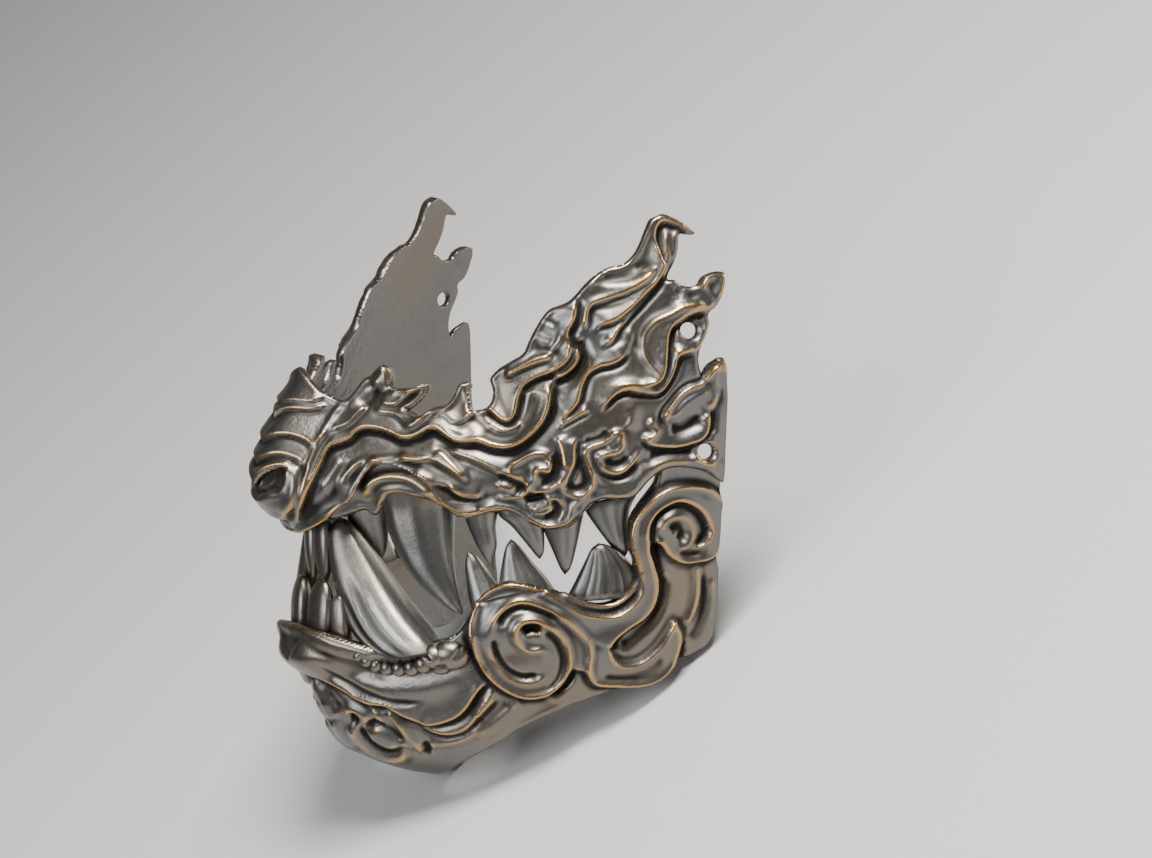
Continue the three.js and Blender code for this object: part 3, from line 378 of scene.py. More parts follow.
    ("ridge", (1.4, 3.2, 0.2, 0.0), [(646.5, 417), (650, 424), (653.5, 430), (650.5, 434.5), (644, 436.5)]),
    ("groove", (0.9, 5, 0.15, 0.15), [(644.2, 452.6), (658.6, 454.2), (677.7, 453.4), (692.1, 451)]),
    ("ridge", (0.7, 8, 0.3, 0.3), [(623.5, 419.1), (629.9, 409.6), (628.3, 431.9)]),
    ("step", (-1, 1, 6, 0.5, 2.6, 0.12, 0.12), [(400, 461.4), (418.4, 463), (435.2, 462.2), (445.9, 467.6), (458.2, 474.1), (471.2, 479.3)]),
    ("step", (1, 0.9, 5, 0.5, 2.6, 0.12, 0.12), [(436.7, 451.5), (445.9, 452.6), (455.1, 461.4), (465.1, 472.2), (471.9, 478.3)]),
    ("step", (-1, 1, 5, 0.6, 2.6, 0.12, 0.12), [(415.3, 472.2), (433.7, 480.6), (450.5, 484.4), (461.2, 490.8), (473.5, 494.7), (487.6, 494)]),
    ("ridge", (0.8, 3.4, 0.12, 0.12), [(450.5, 482.1), (464.3, 486.7), (476.5, 487.5), (485.7, 490.5)]),
    ("ridge", (1.3, 4.2, 0.1, 0.1), [(369.4, 470.6), (384.7, 466), (400, 469.9), (415.3, 474.4), (430.6, 483.6), (444.4, 495.4), (455.1, 503.1), (467.4, 506.1), (485.7, 503.1), (504.1, 502.8)]),
    ("ridge", (0.7, 3.4, 0.12, 0.12), [(441.3, 487.5), (452, 495.9), (467.4, 500), (485.7, 496.9), (501, 495.1)]),
    ("step", (-1, 1, 7, 0.5, 2.6, 0.12, 0.12), [(450.5, 452.3), (468.9, 459.1), (485.7, 466), (499.5, 472.2), (513.3, 478), (522.5, 483.2)]),
    ("ridge", (1, 4, 0.12, 0.12), [(338.2, 491.6), (345.9, 477.6), (358.6, 467.3), (373.9, 461.2), (393.1, 459.7), (418.6, 461.2), (440, 465.4)]),
    ("groove", (0.8, 4.5, 0.15, 0.15), [(349.7, 487.8), (358.6, 475), (370.1, 466.1), (382.9, 462.9), (404.5, 466.1), (424.9, 475.6)]),
    ("ridge", (1.2, 4, 0.04, 0.1), [(299.9, 525), (319.1, 516.1), (336.9, 507.1), (351, 496.9), (362.4, 485.2), (368.8, 473.7), (376.5, 465.4), (384.1, 464.5), (404.5, 470.2), (424.9, 480.4), (439, 491.8)]),
    ("groove", (0.9, 6, 0.15, 0.15), [(306.3, 514.5), (321.6, 500.5), (336.9, 487.8), (345.9, 472.4), (354.8, 462.2)]),
    ("ridge", (0.6, 7, 0.12, 0.12), [(321.6, 487.8), (334.4, 475), (344.6, 462.2)]),
]
JAW_STROKES = [
    ("ridge", (1.1, 7.5, 0.0, 0.12), [(262, 636), (278, 632), (290, 627), (298, 628), (308, 633), (320, 639), (333, 645), (348, 650.5), (366, 656), (384, 660)]),
    ("groove", (0.9, 4.5, 0.3, 0.2), [(302, 645), (314, 650), (332, 658), (352, 665), (374, 671), (396, 676)]),
    ("ridge", (1.0, 10, 0.0, 0.2), [(262, 652), (282, 649), (298, 653), (316, 662), (338, 671), (362, 680), (390, 688), (420, 690), (448, 684), (470, 672)]),
    ("groove", (1.2, 3, 0.25, 0.25), [(303, 655), (316.6, 660.7), (333.2, 671.5), (349.8, 681.5), (366.3, 691.4), (382.9, 698), (399.5, 701.4), (416.1, 701.4), (432.7, 698.4)]),
    ("step", (-1, 1.9, 12, 0.55, 5, 0.02, 0.06), [(286.7, 658.2), (300, 665.7), (313.3, 673.2), (329.9, 683.1), (344.8, 691.4), (358, 698), (371.3, 704.7), (386.2, 706.7), (399.5, 714.6), (416.1, 721.3), (429.4, 724.6), (445.9, 722.1), (459.2, 716.3), (469.2, 706.3), (479.1, 691.4), (489.1, 682.3)]),
    ("ridge", (0.9, 2.8, 0.12, 0.12), [(348.1, 690.6), (363, 701.4), (374.6, 713), (386.2, 727.9), (399.5, 739.5), (416.1, 749.5)]),
    ("ridge", (1.1, 3.2, 0.12, 0.12), [(384.6, 709.7), (396.2, 721.3), (407.8, 736.2), (419.4, 747.8), (423.1, 756.1)]),
    ("groove", (2, 3.4, 0, 0), [(352.4, 717.9), (353.4, 720.6)]),
    ("ridge", (0.9, 4, 0.12, 0.12), [(343.9, 709.7), (354.7, 711.3), (364.7, 717.9), (366.3, 726.2)]),
    ("ridge", (1.5, 3.8, 0.12, 0.12), [(347.3, 725.4), (358, 739.5), (371.3, 751.1), (386.2, 758.1), (399.5, 758.7), (410.3, 754.1)]),
    ("groove", (1.4, 2.8, 0.15, 0.15), [(357.2, 726.2), (363, 734.5), (371.3, 743.6), (382.9, 750.6), (394.5, 751.4), (405.3, 746.1)]),
    ("groove", (1.6, 3.2, 0.15, 0.15), [(365.5, 730.4), (369.7, 724.9), (377.9, 724.2), (385.4, 727.6), (396.2, 736.2), (404.5, 742.8)]),
    ("ridge", (1.2, 9, 0, 0), [(376.3, 735.4), (386.2, 741.2), (394.5, 745.3)]),
    ("ridge", (0.9, 3, 0.12, 0.12), [(309.1, 675.7), (319.9, 697.2), (331.5, 721.3)]),
    ("ridge", (0.9, 4, 0.12, 0.12), [(332.3, 722.9), (343.1, 737.8), (356.4, 750.3)]),
    ("groove", (1, 5, 0.15, 0.15), [(314.9, 675.7), (328.2, 694.7), (339.8, 711.3)]),
    ("ridge", (0.7, 5, 0.12, 0.12), [(324.9, 699.7), (334.8, 711.3), (336.5, 719.6)]),
    ("groove", (1.6, 3.6, 0.1, 0.2), [(423.1, 743.6), (426.9, 749.5), (426, 756.1)]),
    ("ridge", (0.8, 4, 0.12, 0.12), [(426, 744.8), (445.9, 744.1), (462.5, 739.5), (479.1, 729.6)]),
    ("step", (-1, 1.2, 8, 0.5, 2.6, 0.12, 0.12), [(416.1, 726.2), (432.7, 732.9), (449.3, 735.4), (465.8, 730.4), (480.8, 715.5), (499, 697.2)]),
    ("ridge", (0.8, 6, 0.12, 0.12), [(495.7, 689.8), (484.1, 704.7), (475.8, 717.9)]),
    ("ridge", (0.8, 6, 0.12, 0.12), [(520.6, 701.4), (505.6, 713), (490.7, 726.2), (475.8, 737.8)]),
    ("groove", (0.7, 6, 0.15, 0.15), [(510.6, 703), (495.7, 716.3), (482.4, 729.6)]),
    ("ridge", (1, 3, 0.02, 0), [(469, 640), (469, 625), (474, 606.5), (487, 590), (505.5, 583), (524, 584), (542.5, 590), (561, 599), (579.5, 610), (594, 614), (613, 614), (627.5, 606.5), (637, 595), (638.6, 579), (635, 562), (629.4, 545), (630, 529), (637, 514), (650, 499), (666, 488), (685, 484), (703, 486), (714.5, 493.6), (721, 503)]),
    ("ridge", (1.9, 3.4, 0.04, 0.1), [(468, 628), (473, 640), (478, 655), (489, 674), (506, 688), (524, 695), (541, 694), (555, 688), (564, 677.5), (569, 662), (567.5, 648), (562, 635), (550, 625), (536, 620), (524, 620.5), (516, 627), (516, 635), (522, 644), (531, 649), (541, 649), (546, 655), (545, 664)]),
    ("groove", (1.5, 3.4, 0.15, 0.15), [(496, 634), (494, 645), (499, 658), (508, 669), (520, 675), (531, 675), (541, 671)]),
    ("ridge", (0.6, 3, 0.12, 0.12), [(490, 640), (491, 652), (498, 665), (510, 676), (524, 681), (538, 680), (549, 672)]),
    ("ridge", (1.7, 3.2, 0.12, 0.05), [(491, 640), (492, 628), (495.6, 618), (508, 606.5), (525, 602), (545, 608), (562, 616), (576, 627), (587, 639), (590, 651), (588.5, 665), (590, 677.5), (597, 683), (617, 683.6), (639, 683), (657, 677.5), (669, 667), (676, 653), (680, 637), (674, 619.6)]),
    ("groove", (1.7, 3.4, 0.15, 0.15), [(500, 630), (503, 616), (515, 608), (530, 607), (547, 613), (560, 621)]),
    ("groove", (2.6, 4.2, 0.1, 0.1), [(523, 631), (530, 627.5), (540, 628)]),
    ("groove", (1.4, 3, 0.15, 0.15), [(573, 665), (570, 680), (560, 690), (548, 696)]),
    ("groove", (0.7, 6, 0.15, 0.15), [(480, 640), (480, 615), (490, 600), (507, 592), (525, 592), (545, 599), (565, 610)]),
    ("ridge", (0.5, 7, 0.12, 0.12), [(540, 690), (560, 705), (520, 735)]),
    ("step", (1, 1.9, 9, 0.75, 5, 0.05, 0.02), [(690, 546), (700, 542), (706, 531), (703, 518), (694, 507), (679, 501), (666, 505), (655, 514), (649, 527), (649.7, 547), (655, 566), (659, 584), (655, 603), (644, 617.5), (627.5, 629), (614.6, 640), (610.5, 650)]),
    ("groove", (0.7, 6, 0.15, 0.15), [(640, 535), (641, 520), (650, 508), (666, 497), (684, 493), (702, 496), (712, 505)]),
    ("ridge", (1.1, 3, 0.05, 0.03), [(610.8, 647.7), (611.3, 654.7), (616.6, 660.8), (627, 662.6), (639.4, 660), (651.7, 651), (662, 639), (669, 628), (674.5, 619.6)]),
    ("groove", (0.9, 4, 0.15, 0.15), [(599, 674), (616.6, 676.6), (639.4, 674), (655, 665), (664, 652)]),
    ("ridge", (1, 3.6, 0.12, 0.12), [(695.5, 563.5), (698, 577.5), (697, 595), (692, 613), (684, 627)]),
    ("ridge", (1, 4, 0.1, 0.05), [(659, 532.5), (663, 521), (672, 516), (683, 517), (690, 525), (690, 536), (685, 544), (677, 548)]),
    ("ridge", (1.1, 3.6, 0.12, 0.12), [(656, 536), (661, 545), (668, 555), (681, 562), (696, 561), (709, 555), (720, 545)]),
    ("groove", (1.5, 4, 0.15, 0.15), [(668, 530), (676, 526), (680, 533), (677, 540)]),
    ("groove", (1, 3.5, 0.15, 0.15), [(706, 540), (700, 549), (688, 553), (676, 552)]),
    ("ridge", (0.8, 5, 0.12, 0.12), [(712, 575), (714, 600), (708, 630), (697, 650)]),
    ("groove", (0.7, 4, 0.15, 0.15), [(704, 570), (705, 600), (699, 625), (688, 645)]),
    ("groove", (1.2, 3.4, 0.15, 0.15), [(683, 640), (684, 655), (678, 668)]),
    ("ridge", (1.6, 3.6, 0.12, 0.12), [(561, 589), (572, 597), (589, 603), (607, 605), (622, 599), (632, 588), (634, 578)]),
    ("groove", (1.5, 5.5, 0.12, 0.12), [(664, 574), (663, 590), (660, 604), (651, 621), (637, 634), (623, 646), (618, 652)]),
    ("groove", (1.0, 3.2, 0.1, 0.1), [(548, 690), (558, 678), (562, 664), (560, 650), (553, 638), (542, 630)]),
]
GUM_STROKES = [
    ("ridge", (1.6, 3.8, 0.12, 0.12), [(365.6, 503.1), (366.3, 492.9), (368.8, 485.2), (377.8, 478.8), (390.5, 476.3), (405.8, 478.2), (418.6, 484.2), (439, 495.4)]),
    ("ridge", (1.2, 3.4, 0.12, 0.12), [(379.7, 508.2), (380.3, 498), (388, 490.9), (405.8, 489.7), (428.8, 492.6), (440, 498)]),
    ("ridge", (1.2, 3.6, 0.12, 0.12), [(400, 495.1), (424.5, 496.6), (442.9, 504.3), (455.1, 512), (473.5, 515), (491.8, 510.4), (513.3, 512), (530.1, 524.2)]),
]

# ------------------------------------------------------------------ mesh building
def clip(tri, f, data):
    """Triangles cut back to where f is negative. Returns (triangles, vertex data)."""
    ins = f[tri] < 0
    count = ins.sum(1)
    out = [tri[count == 3]]
    pairs = []
    one = tri[count == 1]
    k = np.argmax(ins[count == 1], axis=1)
    r = np.arange(len(one))
    a, b, c = one[r, k], one[r, (k + 1) % 3], one[r, (k + 2) % 3]
    two = tri[count == 2]
    k = np.argmin(ins[count == 2], axis=1)
    r = np.arange(len(two))
    d, e, g = two[r, k], two[r, (k + 1) % 3], two[r, (k + 2) % 3]
    pairs = np.concatenate([np.stack(p, 1) for p in ((a, b), (a, c), (d, e), (d, g))])
    keys = np.sort(pairs, axis=1)
    uniq, where = np.unique(keys, axis=0, return_inverse=True)
    where = where.reshape(-1)
    t = (f[uniq[:, 0]] / (f[uniq[:, 0]] - f[uniq[:, 1]]))[:, None]
    new = data[uniq[:, 0]] * (1 - t) + data[uniq[:, 1]] * t
    ids = where + len(data)
    n1, n2 = len(a), len(d)
    ab, ac, de, dg = ids[:n1], ids[n1:2 * n1], ids[2 * n1:2 * n1 + n2], ids[2 * n1 + n2:]
    out += [np.stack([a, ab, ac], 1), np.stack([de, e, g], 1), np.stack([de, g, dg], 1)]
    tri = np.concatenate(out)
    data = np.concatenate([data, new])
    used, tri = np.unique(tri, return_inverse=True)
    return tri.reshape(-1, 3), data[used]


def rim_edges(tri):
    e = np.concatenate([tri[:, [0, 1]], tri[:, [1, 2]], tri[:, [2, 0]]])
    s = np.sort(e, axis=1)
    _, where, count = np.unique(s, axis=0, return_inverse=True, return_counts=True)
    return e[count[where.reshape(-1)] == 1]


def link(mesh, name, parts=()):
    ob = bpy.data.objects.new(name, mesh)
    bpy.context.scene.collection.objects.link(ob)
    return ob


def make_mesh(name, verts, tris, attributes=None):
    me = bpy.data.meshes.new(name)
    me.vertices.add(len(verts))
    me.vertices.foreach_set("co", np.asarray(verts, np.float32).ravel())
    me.loops.add(3 * len(tris))
    me.loops.foreach_set("vertex_index", np.asarray(tris, np.int32).ravel())
    me.polygons.add(len(tris))
    me.polygons.foreach_set("loop_start", np.arange(0, 3 * len(tris), 3, dtype=np.int32))
    me.polygons.foreach_set("loop_total", np.full(len(tris), 3, np.int32))
    me.update(calc_edges=True)
    me.polygons.foreach_set("use_smooth", np.ones(len(tris), bool))
    for key, values in (attributes or {}).items():
        values = np.asarray(values, np.float32)
        kind = "FLOAT" if values.ndim == 1 else "FLOAT_VECTOR"
        at = me.attributes.new(key, kind, "POINT")
        at.data.foreach_set("value" if kind == "FLOAT" else "vector", values.ravel())
    me.validate()
    return me


def join_halves(P, tri, at):
    """Mirrors a left half in x = 0 and welds it there."""
    on = P[:, 0] < 1e-5
    P[on, 0] = 0
    n = len(P)
    ids = np.cumsum(~on) - 1 + n
    ids = np.where(on, np.arange(n), ids)
    Q = P[~on] * np.array([-1, 1, 1])
    flip = ids[tri][:, ::-1]
    return np.concatenate([P, Q]), np.concatenate([tri, flip]), {k: np.concatenate([v, v[~on]]) for k, v in at.items()}


def shell(name, v0, v1, shape, low, high, strokes, rim=0.35, res=RES, raised=None, roll=0.9, floor=False, keep_in=0.9, form=None, back=0.0):
    """A plate on the face surface between two offsets, cut to a shape drawn in the view, with relief on its
    outer side and a rounded rim."""
    uu, vv = np.linspace(0, 1, 241), np.linspace(v0, v1, 81)
    P = face(uu[None, :], vv[:, None])
    du = np.linalg.norm(np.diff(P, axis=1), axis=-1)
    dv = np.linalg.norm(np.diff(P, axis=0), axis=-1)
    cu = np.concatenate([[0], np.cumsum(du.mean(0))])
    cv = np.concatenate([[0], np.cumsum(dv.mean(1))])
    nu, nv = int(cu[-1] / res) + 2, int(cv[-1] / res) + 2
    u = np.interp(np.linspace(0, cu[-1], nu), cu, uu)
    v = np.interp(np.linspace(0, cv[-1], nv), cv, vv)
    U, V = np.meshgrid(u, v)
    P, N = face(U, V), normal(U, V)
    N[:, 0, 0] = 0
    P[:, 0, 0] = 0
    if form is not None:
        P = form(P, U)
    Q = seen(P).reshape(-1, 2)
    sd = shape(Q)
    near = sd < 14
    H = np.zeros(len(Q))
    H[near] = relief(Q[near], strokes)
    if raised is not None:
        H[near] += raised(Q[near])
    H = H.reshape(U.shape)
    s = H.copy()
    s[1:-1] = (H[:-2] + 2 * H[1:-1] + H[2:]) / 4
    H = s.copy()
    H[:, 1:-1] = (s[:, :-2] + 2 * s[:, 1:-1] + s[:, 2:]) / 4
    H = np.where(H > 0, 4.4 * np.tanh(H / 4.4), H)
    d = -sd.reshape(U.shape) / PX
    H = H + rim * np.exp(-(((d - 1.0) / 0.75) ** 2))
    H = np.maximum(H, low - high + keep_in)
    k1, k2, k3 = max(1, int(round(0.45 / res))), max(1, int(round(0.85 / res))), max(2, int(round(2.4 / res)))
    fine, mid, broad = blur(H, k1), blur(H, k2), blur(H, k3)
    # golden edge mask on crests and along the outline: partly rubbed-through metal, partly painted highlight
    wear_and_highlight = np.clip((H - fine - 0.03) / 0.14, 0, 1) * 0.6 + np.clip((H - mid - 0.05) / 0.32, 0, 1) * 0.3 + np.clip((H - broad - 0.25) / 1.2, 0, 1) * 0.25
    wear_and_highlight = np.clip(np.maximum(wear_and_highlight, 0.55 * np.exp(-((np.maximum(d, 0) / 0.5) ** 2))), 0, 1)
    # painted shade: hollows and the feet of folds are darkened by how far they lie below the blurred surface
    painted_shade = np.clip(np.clip((mid - H - 0.03) / 0.24, 0, 1) * 0.75 + np.clip((broad - H - 0.15) / 1.5, 0, 1) * 0.7, 0, 1)
    wear_and_highlight, painted_shade = wear_and_highlight.ravel(), painted_shade.ravel()
    if raised is not None:
        # painted shade: the ground is darkened along the foot of the raised scroll
        out = inside(Q, scroll_loop)
        painted_shade = np.where(out > -0.5, np.maximum(painted_shade, 0.8 * ease((11 - out) / 11) ** 1.5), painted_shade)
    dd = np.clip(d, 0, roll)
    bend = 0.75 * roll * (1 - dd / roll) ** 2
    outer = P + N * (high + H - bend)[..., None]
    inner = P + N * (low + 0.45 * bend)[..., None]
    outer[..., 0] = np.maximum(outer[..., 0], 0)
    inner[..., 0] = np.maximum(inner[..., 0], 0)
    inner[..., 1] = np.minimum(inner[..., 1], REAR_Y + back)
    outer[..., 1] = np.minimum(outer[..., 1], REAR_Y + back)
    data = np.concatenate([outer.reshape(-1, 3), inner.reshape(-1, 3), wear_and_highlight[:, None], painted_shade[:, None], P.reshape(-1, 3)], 1)
    i, j = np.meshgrid(np.arange(nu - 1), np.arange(nv - 1))
    a = (j * nu + i).ravel()
    b, c, e = a + 1, a + nu + 1, a + nu
    tri = np.concatenate([np.stack([a, b, c], 1), np.stack([a, c, e], 1)])
    tri, data = clip(tri[(sd[tri] < 0).any(1)], sd, data)
    n = len(data)
    edges = rim_edges(tri)
    # the rim's offsets are evened out along it, so that the cut runs smoothly
    ahead, behind = np.arange(n), np.arange(n)
    ahead[edges[:, 0]], behind[edges[:, 1]] = edges[:, 1], edges[:, 0]
    base = data[:, 8:11]
    off = np.concatenate([data[:, :3] - base, data[:, 3:6] - base, data[:, 6:8]], 1)
    k = np.unique(edges)
    k = k[(data[k, 0] > 1e-5) & (data[k, 3] > 1e-5)]
    for _ in range(8):
        off[k] = 0.5 * off[k] + 0.25 * (off[ahead[k]] + off[behind[k]])
    data[k, :3] = base[k] + off[k, :3]
    data[k, 3:6] = base[k] + off[k, 3:6]
    data[k, 6:8] = off[k, 6:8]
    data[:, [0, 3]] = np.maximum(data[:, [0, 3]], 0)
    wall = edges[~((data[edges[:, 0], 0] < 1e-5) & (data[edges[:, 1], 0] < 1e-5) & (data[edges[:, 0], 3] < 1e-5) & (data[edges[:, 1], 3] < 1e-5))]
    p, q = wall[:, 0], wall[:, 1]
    all_tri = np.concatenate([tri, tri[:, ::-1] + n, np.stack([q, p, p + n], 1), np.stack([q, p + n, q + n], 1)])
    pts = np.concatenate([data[:, :3], data[:, 3:6]])
    # the inside is smooth and a little worn, with a light even painted shade
    at = {"wear_and_highlight": np.concatenate([data[:, 6], 0.12 + 0 * data[:, 6]]), "painted_shade": np.concatenate([data[:, 7], 0.15 + 0 * data[:, 7]]),
          "inner": np.concatenate([0 * data[:, 6], 1 + 0 * data[:, 6]])}
    pts, all_tri, at = join_halves(pts, all_tri, at)
    pts = to_row(pts)
    if floor:
        pts[:, 2] = np.maximum(pts[:, 2], 0)
    me = make_mesh(name, pts, all_tri, at)
    print(name, "triangles", len(me.polygons))
    return link(me, name)


# ------------------------------------------------------------------ plates
upper_line = smooth(UPPER_TOP, 1.5)
upper_loop = np.concatenate([upper_line, smooth(UPPER_BOTTOM, 1.5)])
nostril_loop = smooth(NOSTRIL, 1.0, closed=True)
jaw_loop = smooth(JAW_SHAPE, 1.5)
scroll_loop = smooth(SCROLL_SHAPE, 1.5, closed=True)
gum_loop = smooth(GUM_SHAPE, 1.5)


def upper_shape(Q):
    s = inside(Q, upper_loop)
    s = np.maximum(s, -inside(Q, nostril_loop))
    for (x, y), r in STRAP_HOLES:
        s = np.maximum(s, r - np.hypot(Q[:, 0] - x, Q[:, 1] - y))
    return s


def jaw_shape(Q):
    return np.minimum(inside(Q, jaw_loop), inside(Q, scroll_loop))


def scroll_raised(Q):
    return 1.9 * ease((0.6 - inside(Q, scroll_loop)) / 3.6)


def gum_shape(Q):
    return np.maximum(inside(Q, gum_loop), 3.0 - jaw_shape(Q))


def jaw_form(P, U):
    """The lip drawn in at the centre and the rear edge carried a little further back."""
    P = P.copy()
    x, z = P[..., 0], P[..., 2]
    P[..., 1] += 2.4 * np.exp(-((x / 15) ** 2)) * ease((z - 27) / 9)
    low = ease((seen(P)[..., 1] - 548) / 26)
    P[..., 1] += (0.9 + 2.0 * low) * ease((U - 0.72) / 0.28) * ease((z - 6) / 16)
    return P


upper = shell("plate_upper", BITE + 0.5, TEMPLE, upper_shape, 0.1, 2.6, UPPER_STROKES, res=RES)
jaw = shell("plate_jaw", UNDER_CHIN, NOSE_BASE + 0.5, jaw_shape, -2.9, -0.3, JAW_STROKES, raised=scroll_raised, floor=True, rim=0.2, form=jaw_form, back=3.0)
gum = shell("gum_upper", BITE + 0.5, SNOUT_MID, gum_shape, -6.4, -0.75, GUM_STROKES, rim=0.3, res=0.8, roll=1.2)


# ------------------------------------------------------------------ teeth
def resample(line, n, power=1.0):
    d = np.concatenate([[0], np.cumsum(np.linalg.norm(np.diff(line, axis=0), axis=1))])
    s = np.linspace(0, 1, n) ** power * d[-1]
    return np.stack([np.interp(s, d, line[:, k]) for k in (0, 1)], 1)


def view_depth(p):
    return float(-(p - EYE) @ BACK)


def aside_at(x, y, side):
    """The point that the view shows at (x, y), at a distance to the left of the centre plane."""
    a, b = at_depth(x, y, DIST), at_depth(x, y, DIST + 10)
    return a + (b - a) * (side - a[0]) / (b[0] - a[0])


def lathe(rings, tip, root):
    n, m = rings.shape[:2]
    i = np.arange(m)
    o = (i + 1) % m
    tri = []
    for j in range(n - 1):
        tri.append(np.stack([j * m + i, j * m + o, (j + 1) * m + o], 1))
        tri.append(np.stack([j * m + i, (j + 1) * m + o, (j + 1) * m + i], 1))
    tri.append(np.stack([np.full(m, n * m), o, i], 1))
    tri.append(np.stack([(n - 1) * m + i, (n - 1) * m + o, np.full(m, n * m + 1)], 1))
    return np.concatenate([rings.reshape(-1, 3), [root, tip]]), np.concatenate(tri)


def volume(P, tri):
    a, b, c = P[tri[:, 0]], P[tri[:, 1]], P[tri[:, 2]]
    return float(np.einsum("ij,ij->i", a, np.cross(b, c)).sum() / 6)


def tooth(name, left, right, depths, flat=0.8, folds=(), rings=40, sides=48, aside=False):
    """A tooth between its two edges as the view shows them, from root to tip; depths are behind the face
    surface at root, middle and tip, or distances from the centre plane where aside is set. folds are grooves along it: (angle, width, depth, start, end)."""
    L = resample(smooth(left, 0.5), rings + 1)
    R = resample(smooth(right, 0.5), rings + 1)
    C = (L + R) / 2
    D = [view_depth(aside_at(*C[k], depth) if aside else on_face(*C[k], depth)[0]) for k, depth in zip((0, rings // 2, rings), depths)]
    s = np.linspace(0, 1, rings + 1)
    t = D[0] * 2 * (s - 0.5) * (s - 1) - D[1] * 4 * s * (s - 1) + D[2] * 2 * s * (s - 0.5)
    P = at_depth(C[:, 0], C[:, 1], t)
    span = R - L
    half = np.linalg.norm(span, axis=1) / 2
    e1 = (span[:, :1] * RIGHT - span[:, 1:] * UP) / np.maximum(2 * half, 1e-6)[:, None]
    half = half / PX * t / DIST
    phi = np.linspace(0, 2 * math.pi, sides, endpoint=False)
    mod = np.ones((rings + 1, sides))
    for angle, width, depth, a, b in folds:
        gap = np.angle(np.exp(1j * (phi - math.radians(angle))))
        along = ease((s - a) / 0.12) * ease((b - s) / 0.2)
        mod -= depth * along[:, None] * np.exp(-((gap / math.radians(width)) ** 2))[None, :]
    ring = P[:, None] + e1[:, None] * (np.cos(phi)[None, :, None] * (half[:, None] * mod)[..., None]) + BACK * (np.sin(phi)[None, :, None] * (half[:, None] * flat * mod)[..., None])
    tip = P[-1]
    root = P[0] + (P[0] - P[1]) * 0.5 - BACK * half[0] * 0.2
    verts, tri = lathe(ring[:-1], tip, root)
    grain = np.concatenate([np.stack([np.cos(phi)[None] * half[:-1, None], np.sin(phi)[None] * half[:-1, None], np.broadcast_to(s[:-1, None], (rings, sides))], -1).reshape(-1, 3), [[0, 0, 0], [0, 0, 1]]])
    # the golden edge colour grows towards the tip; painted shade darkens the grooves and the root at the gum
    wear_and_highlight = np.concatenate([np.broadcast_to((0.55 * s[:-1, None] ** 2), (rings, sides)).ravel(), [0, 0.6]])
    cavity = 1 - mod[:-1]
    painted_shade = np.concatenate([np.clip(cavity * 5.0 + 0.75 * (1 - ease(s[:-1, None] / 0.16)), 0, 1).ravel(), [1, 0]])
    add_pair(name, verts, tri, {"grain": grain, "wear_and_highlight": wear_and_highlight, "painted_shade": painted_shade})


PIECES = []


def add_pair(name, verts, tri, at):
    if volume(verts, tri) < 0:
        tri = tri[:, ::-1]
    for side, sign in (("left", 1), ("right", -1)):
        V = verts * np.array([sign, 1, 1])
        T = tri if sign > 0 else tri[:, ::-1]
        V = to_row(V)
        V[:, 2] = np.maximum(V[:, 2], 0)
        ob = link(make_mesh("form_%s_%s" % (name, side), V, T, at), "form_%s_%s" % (name, side))
        PIECES.append((ob, "%s_%s" % (name, side)))


def front_tooth(name, root, tip, side, wide, thick, blunt=0.6, turn=0.2, rings=26, sides=40):
    """A front tooth from root to tip as the view shows its middle line, at a distance from the centre plane."""
    p0, p1 = aside_at(*root, side), aside_at(*tip, side)
    n0 = np.array([math.sin(turn), -math.cos(turn), 0.0])
    s = np.linspace(0, 1, rings + 1)
    axis = p1 - p0
    e1 = np.cross(n0, axis)
    e1 /= np.linalg.norm(e1)
    e2 = np.cross(axis, e1)
    e2 /= np.linalg.norm(e2)
    P = p0 + axis * s[:, None]
    k = (1 - s ** (2.2 + 2.6 * blunt)) ** (0.45) * (0.86 + 0.14 * np.sin(math.pi * np.minimum(1, s * 1.15)))
    phi = np.linspace(0, 2 * math.pi, sides, endpoint=False)
    squarish = 1 / (np.abs(np.cos(phi)) ** 2.6 + np.abs(np.sin(phi)) ** 2.6) ** (1 / 2.6)
    mod = np.ones((rings + 1, sides)) * squarish[None]
    for angle in (60, 90, 120):
        gap = np.angle(np.exp(1j * (phi - math.radians(angle))))
        mod = mod - 0.05 * ease((s - 0.1) / 0.2)[:, None] * np.exp(-((gap / 0.14) ** 2))[None]
    ring = P[:, None] + e1 * (np.cos(phi)[None] * mod * k[:, None] * wide / 2)[..., None] - e2 * (np.sin(phi)[None] * mod * k[:, None] * thick / 2)[..., None]
    verts, tri = lathe(ring[:-1], P[-1], P[0])
    grain = np.concatenate([np.stack([np.broadcast_to(np.cos(phi)[None] * wide / 2, (rings, sides)), np.broadcast_to(np.sin(phi)[None] * thick / 2, (rings, sides)), np.broadcast_to(s[:-1, None], (rings, sides))], -1).reshape(-1, 3), [[0, 0, 0], [0, 0, 1]]])
    # the golden edge colour grows towards the tip; painted shade darkens the root at the gum
    wear_and_highlight = np.concatenate([np.broadcast_to(0.5 * s[:-1, None] ** 2, (rings, sides)).ravel(), [0, 0.6]])
    painted_shade = np.concatenate([np.broadcast_to(0.8 * (1 - ease(s[:-1, None] / 0.3)), (rings, sides)).ravel(), [1, 0]])
    add_pair(name, verts, tri, {"grain": grain, "wear_and_highlight": wear_and_highlight, "painted_shade": painted_shade})


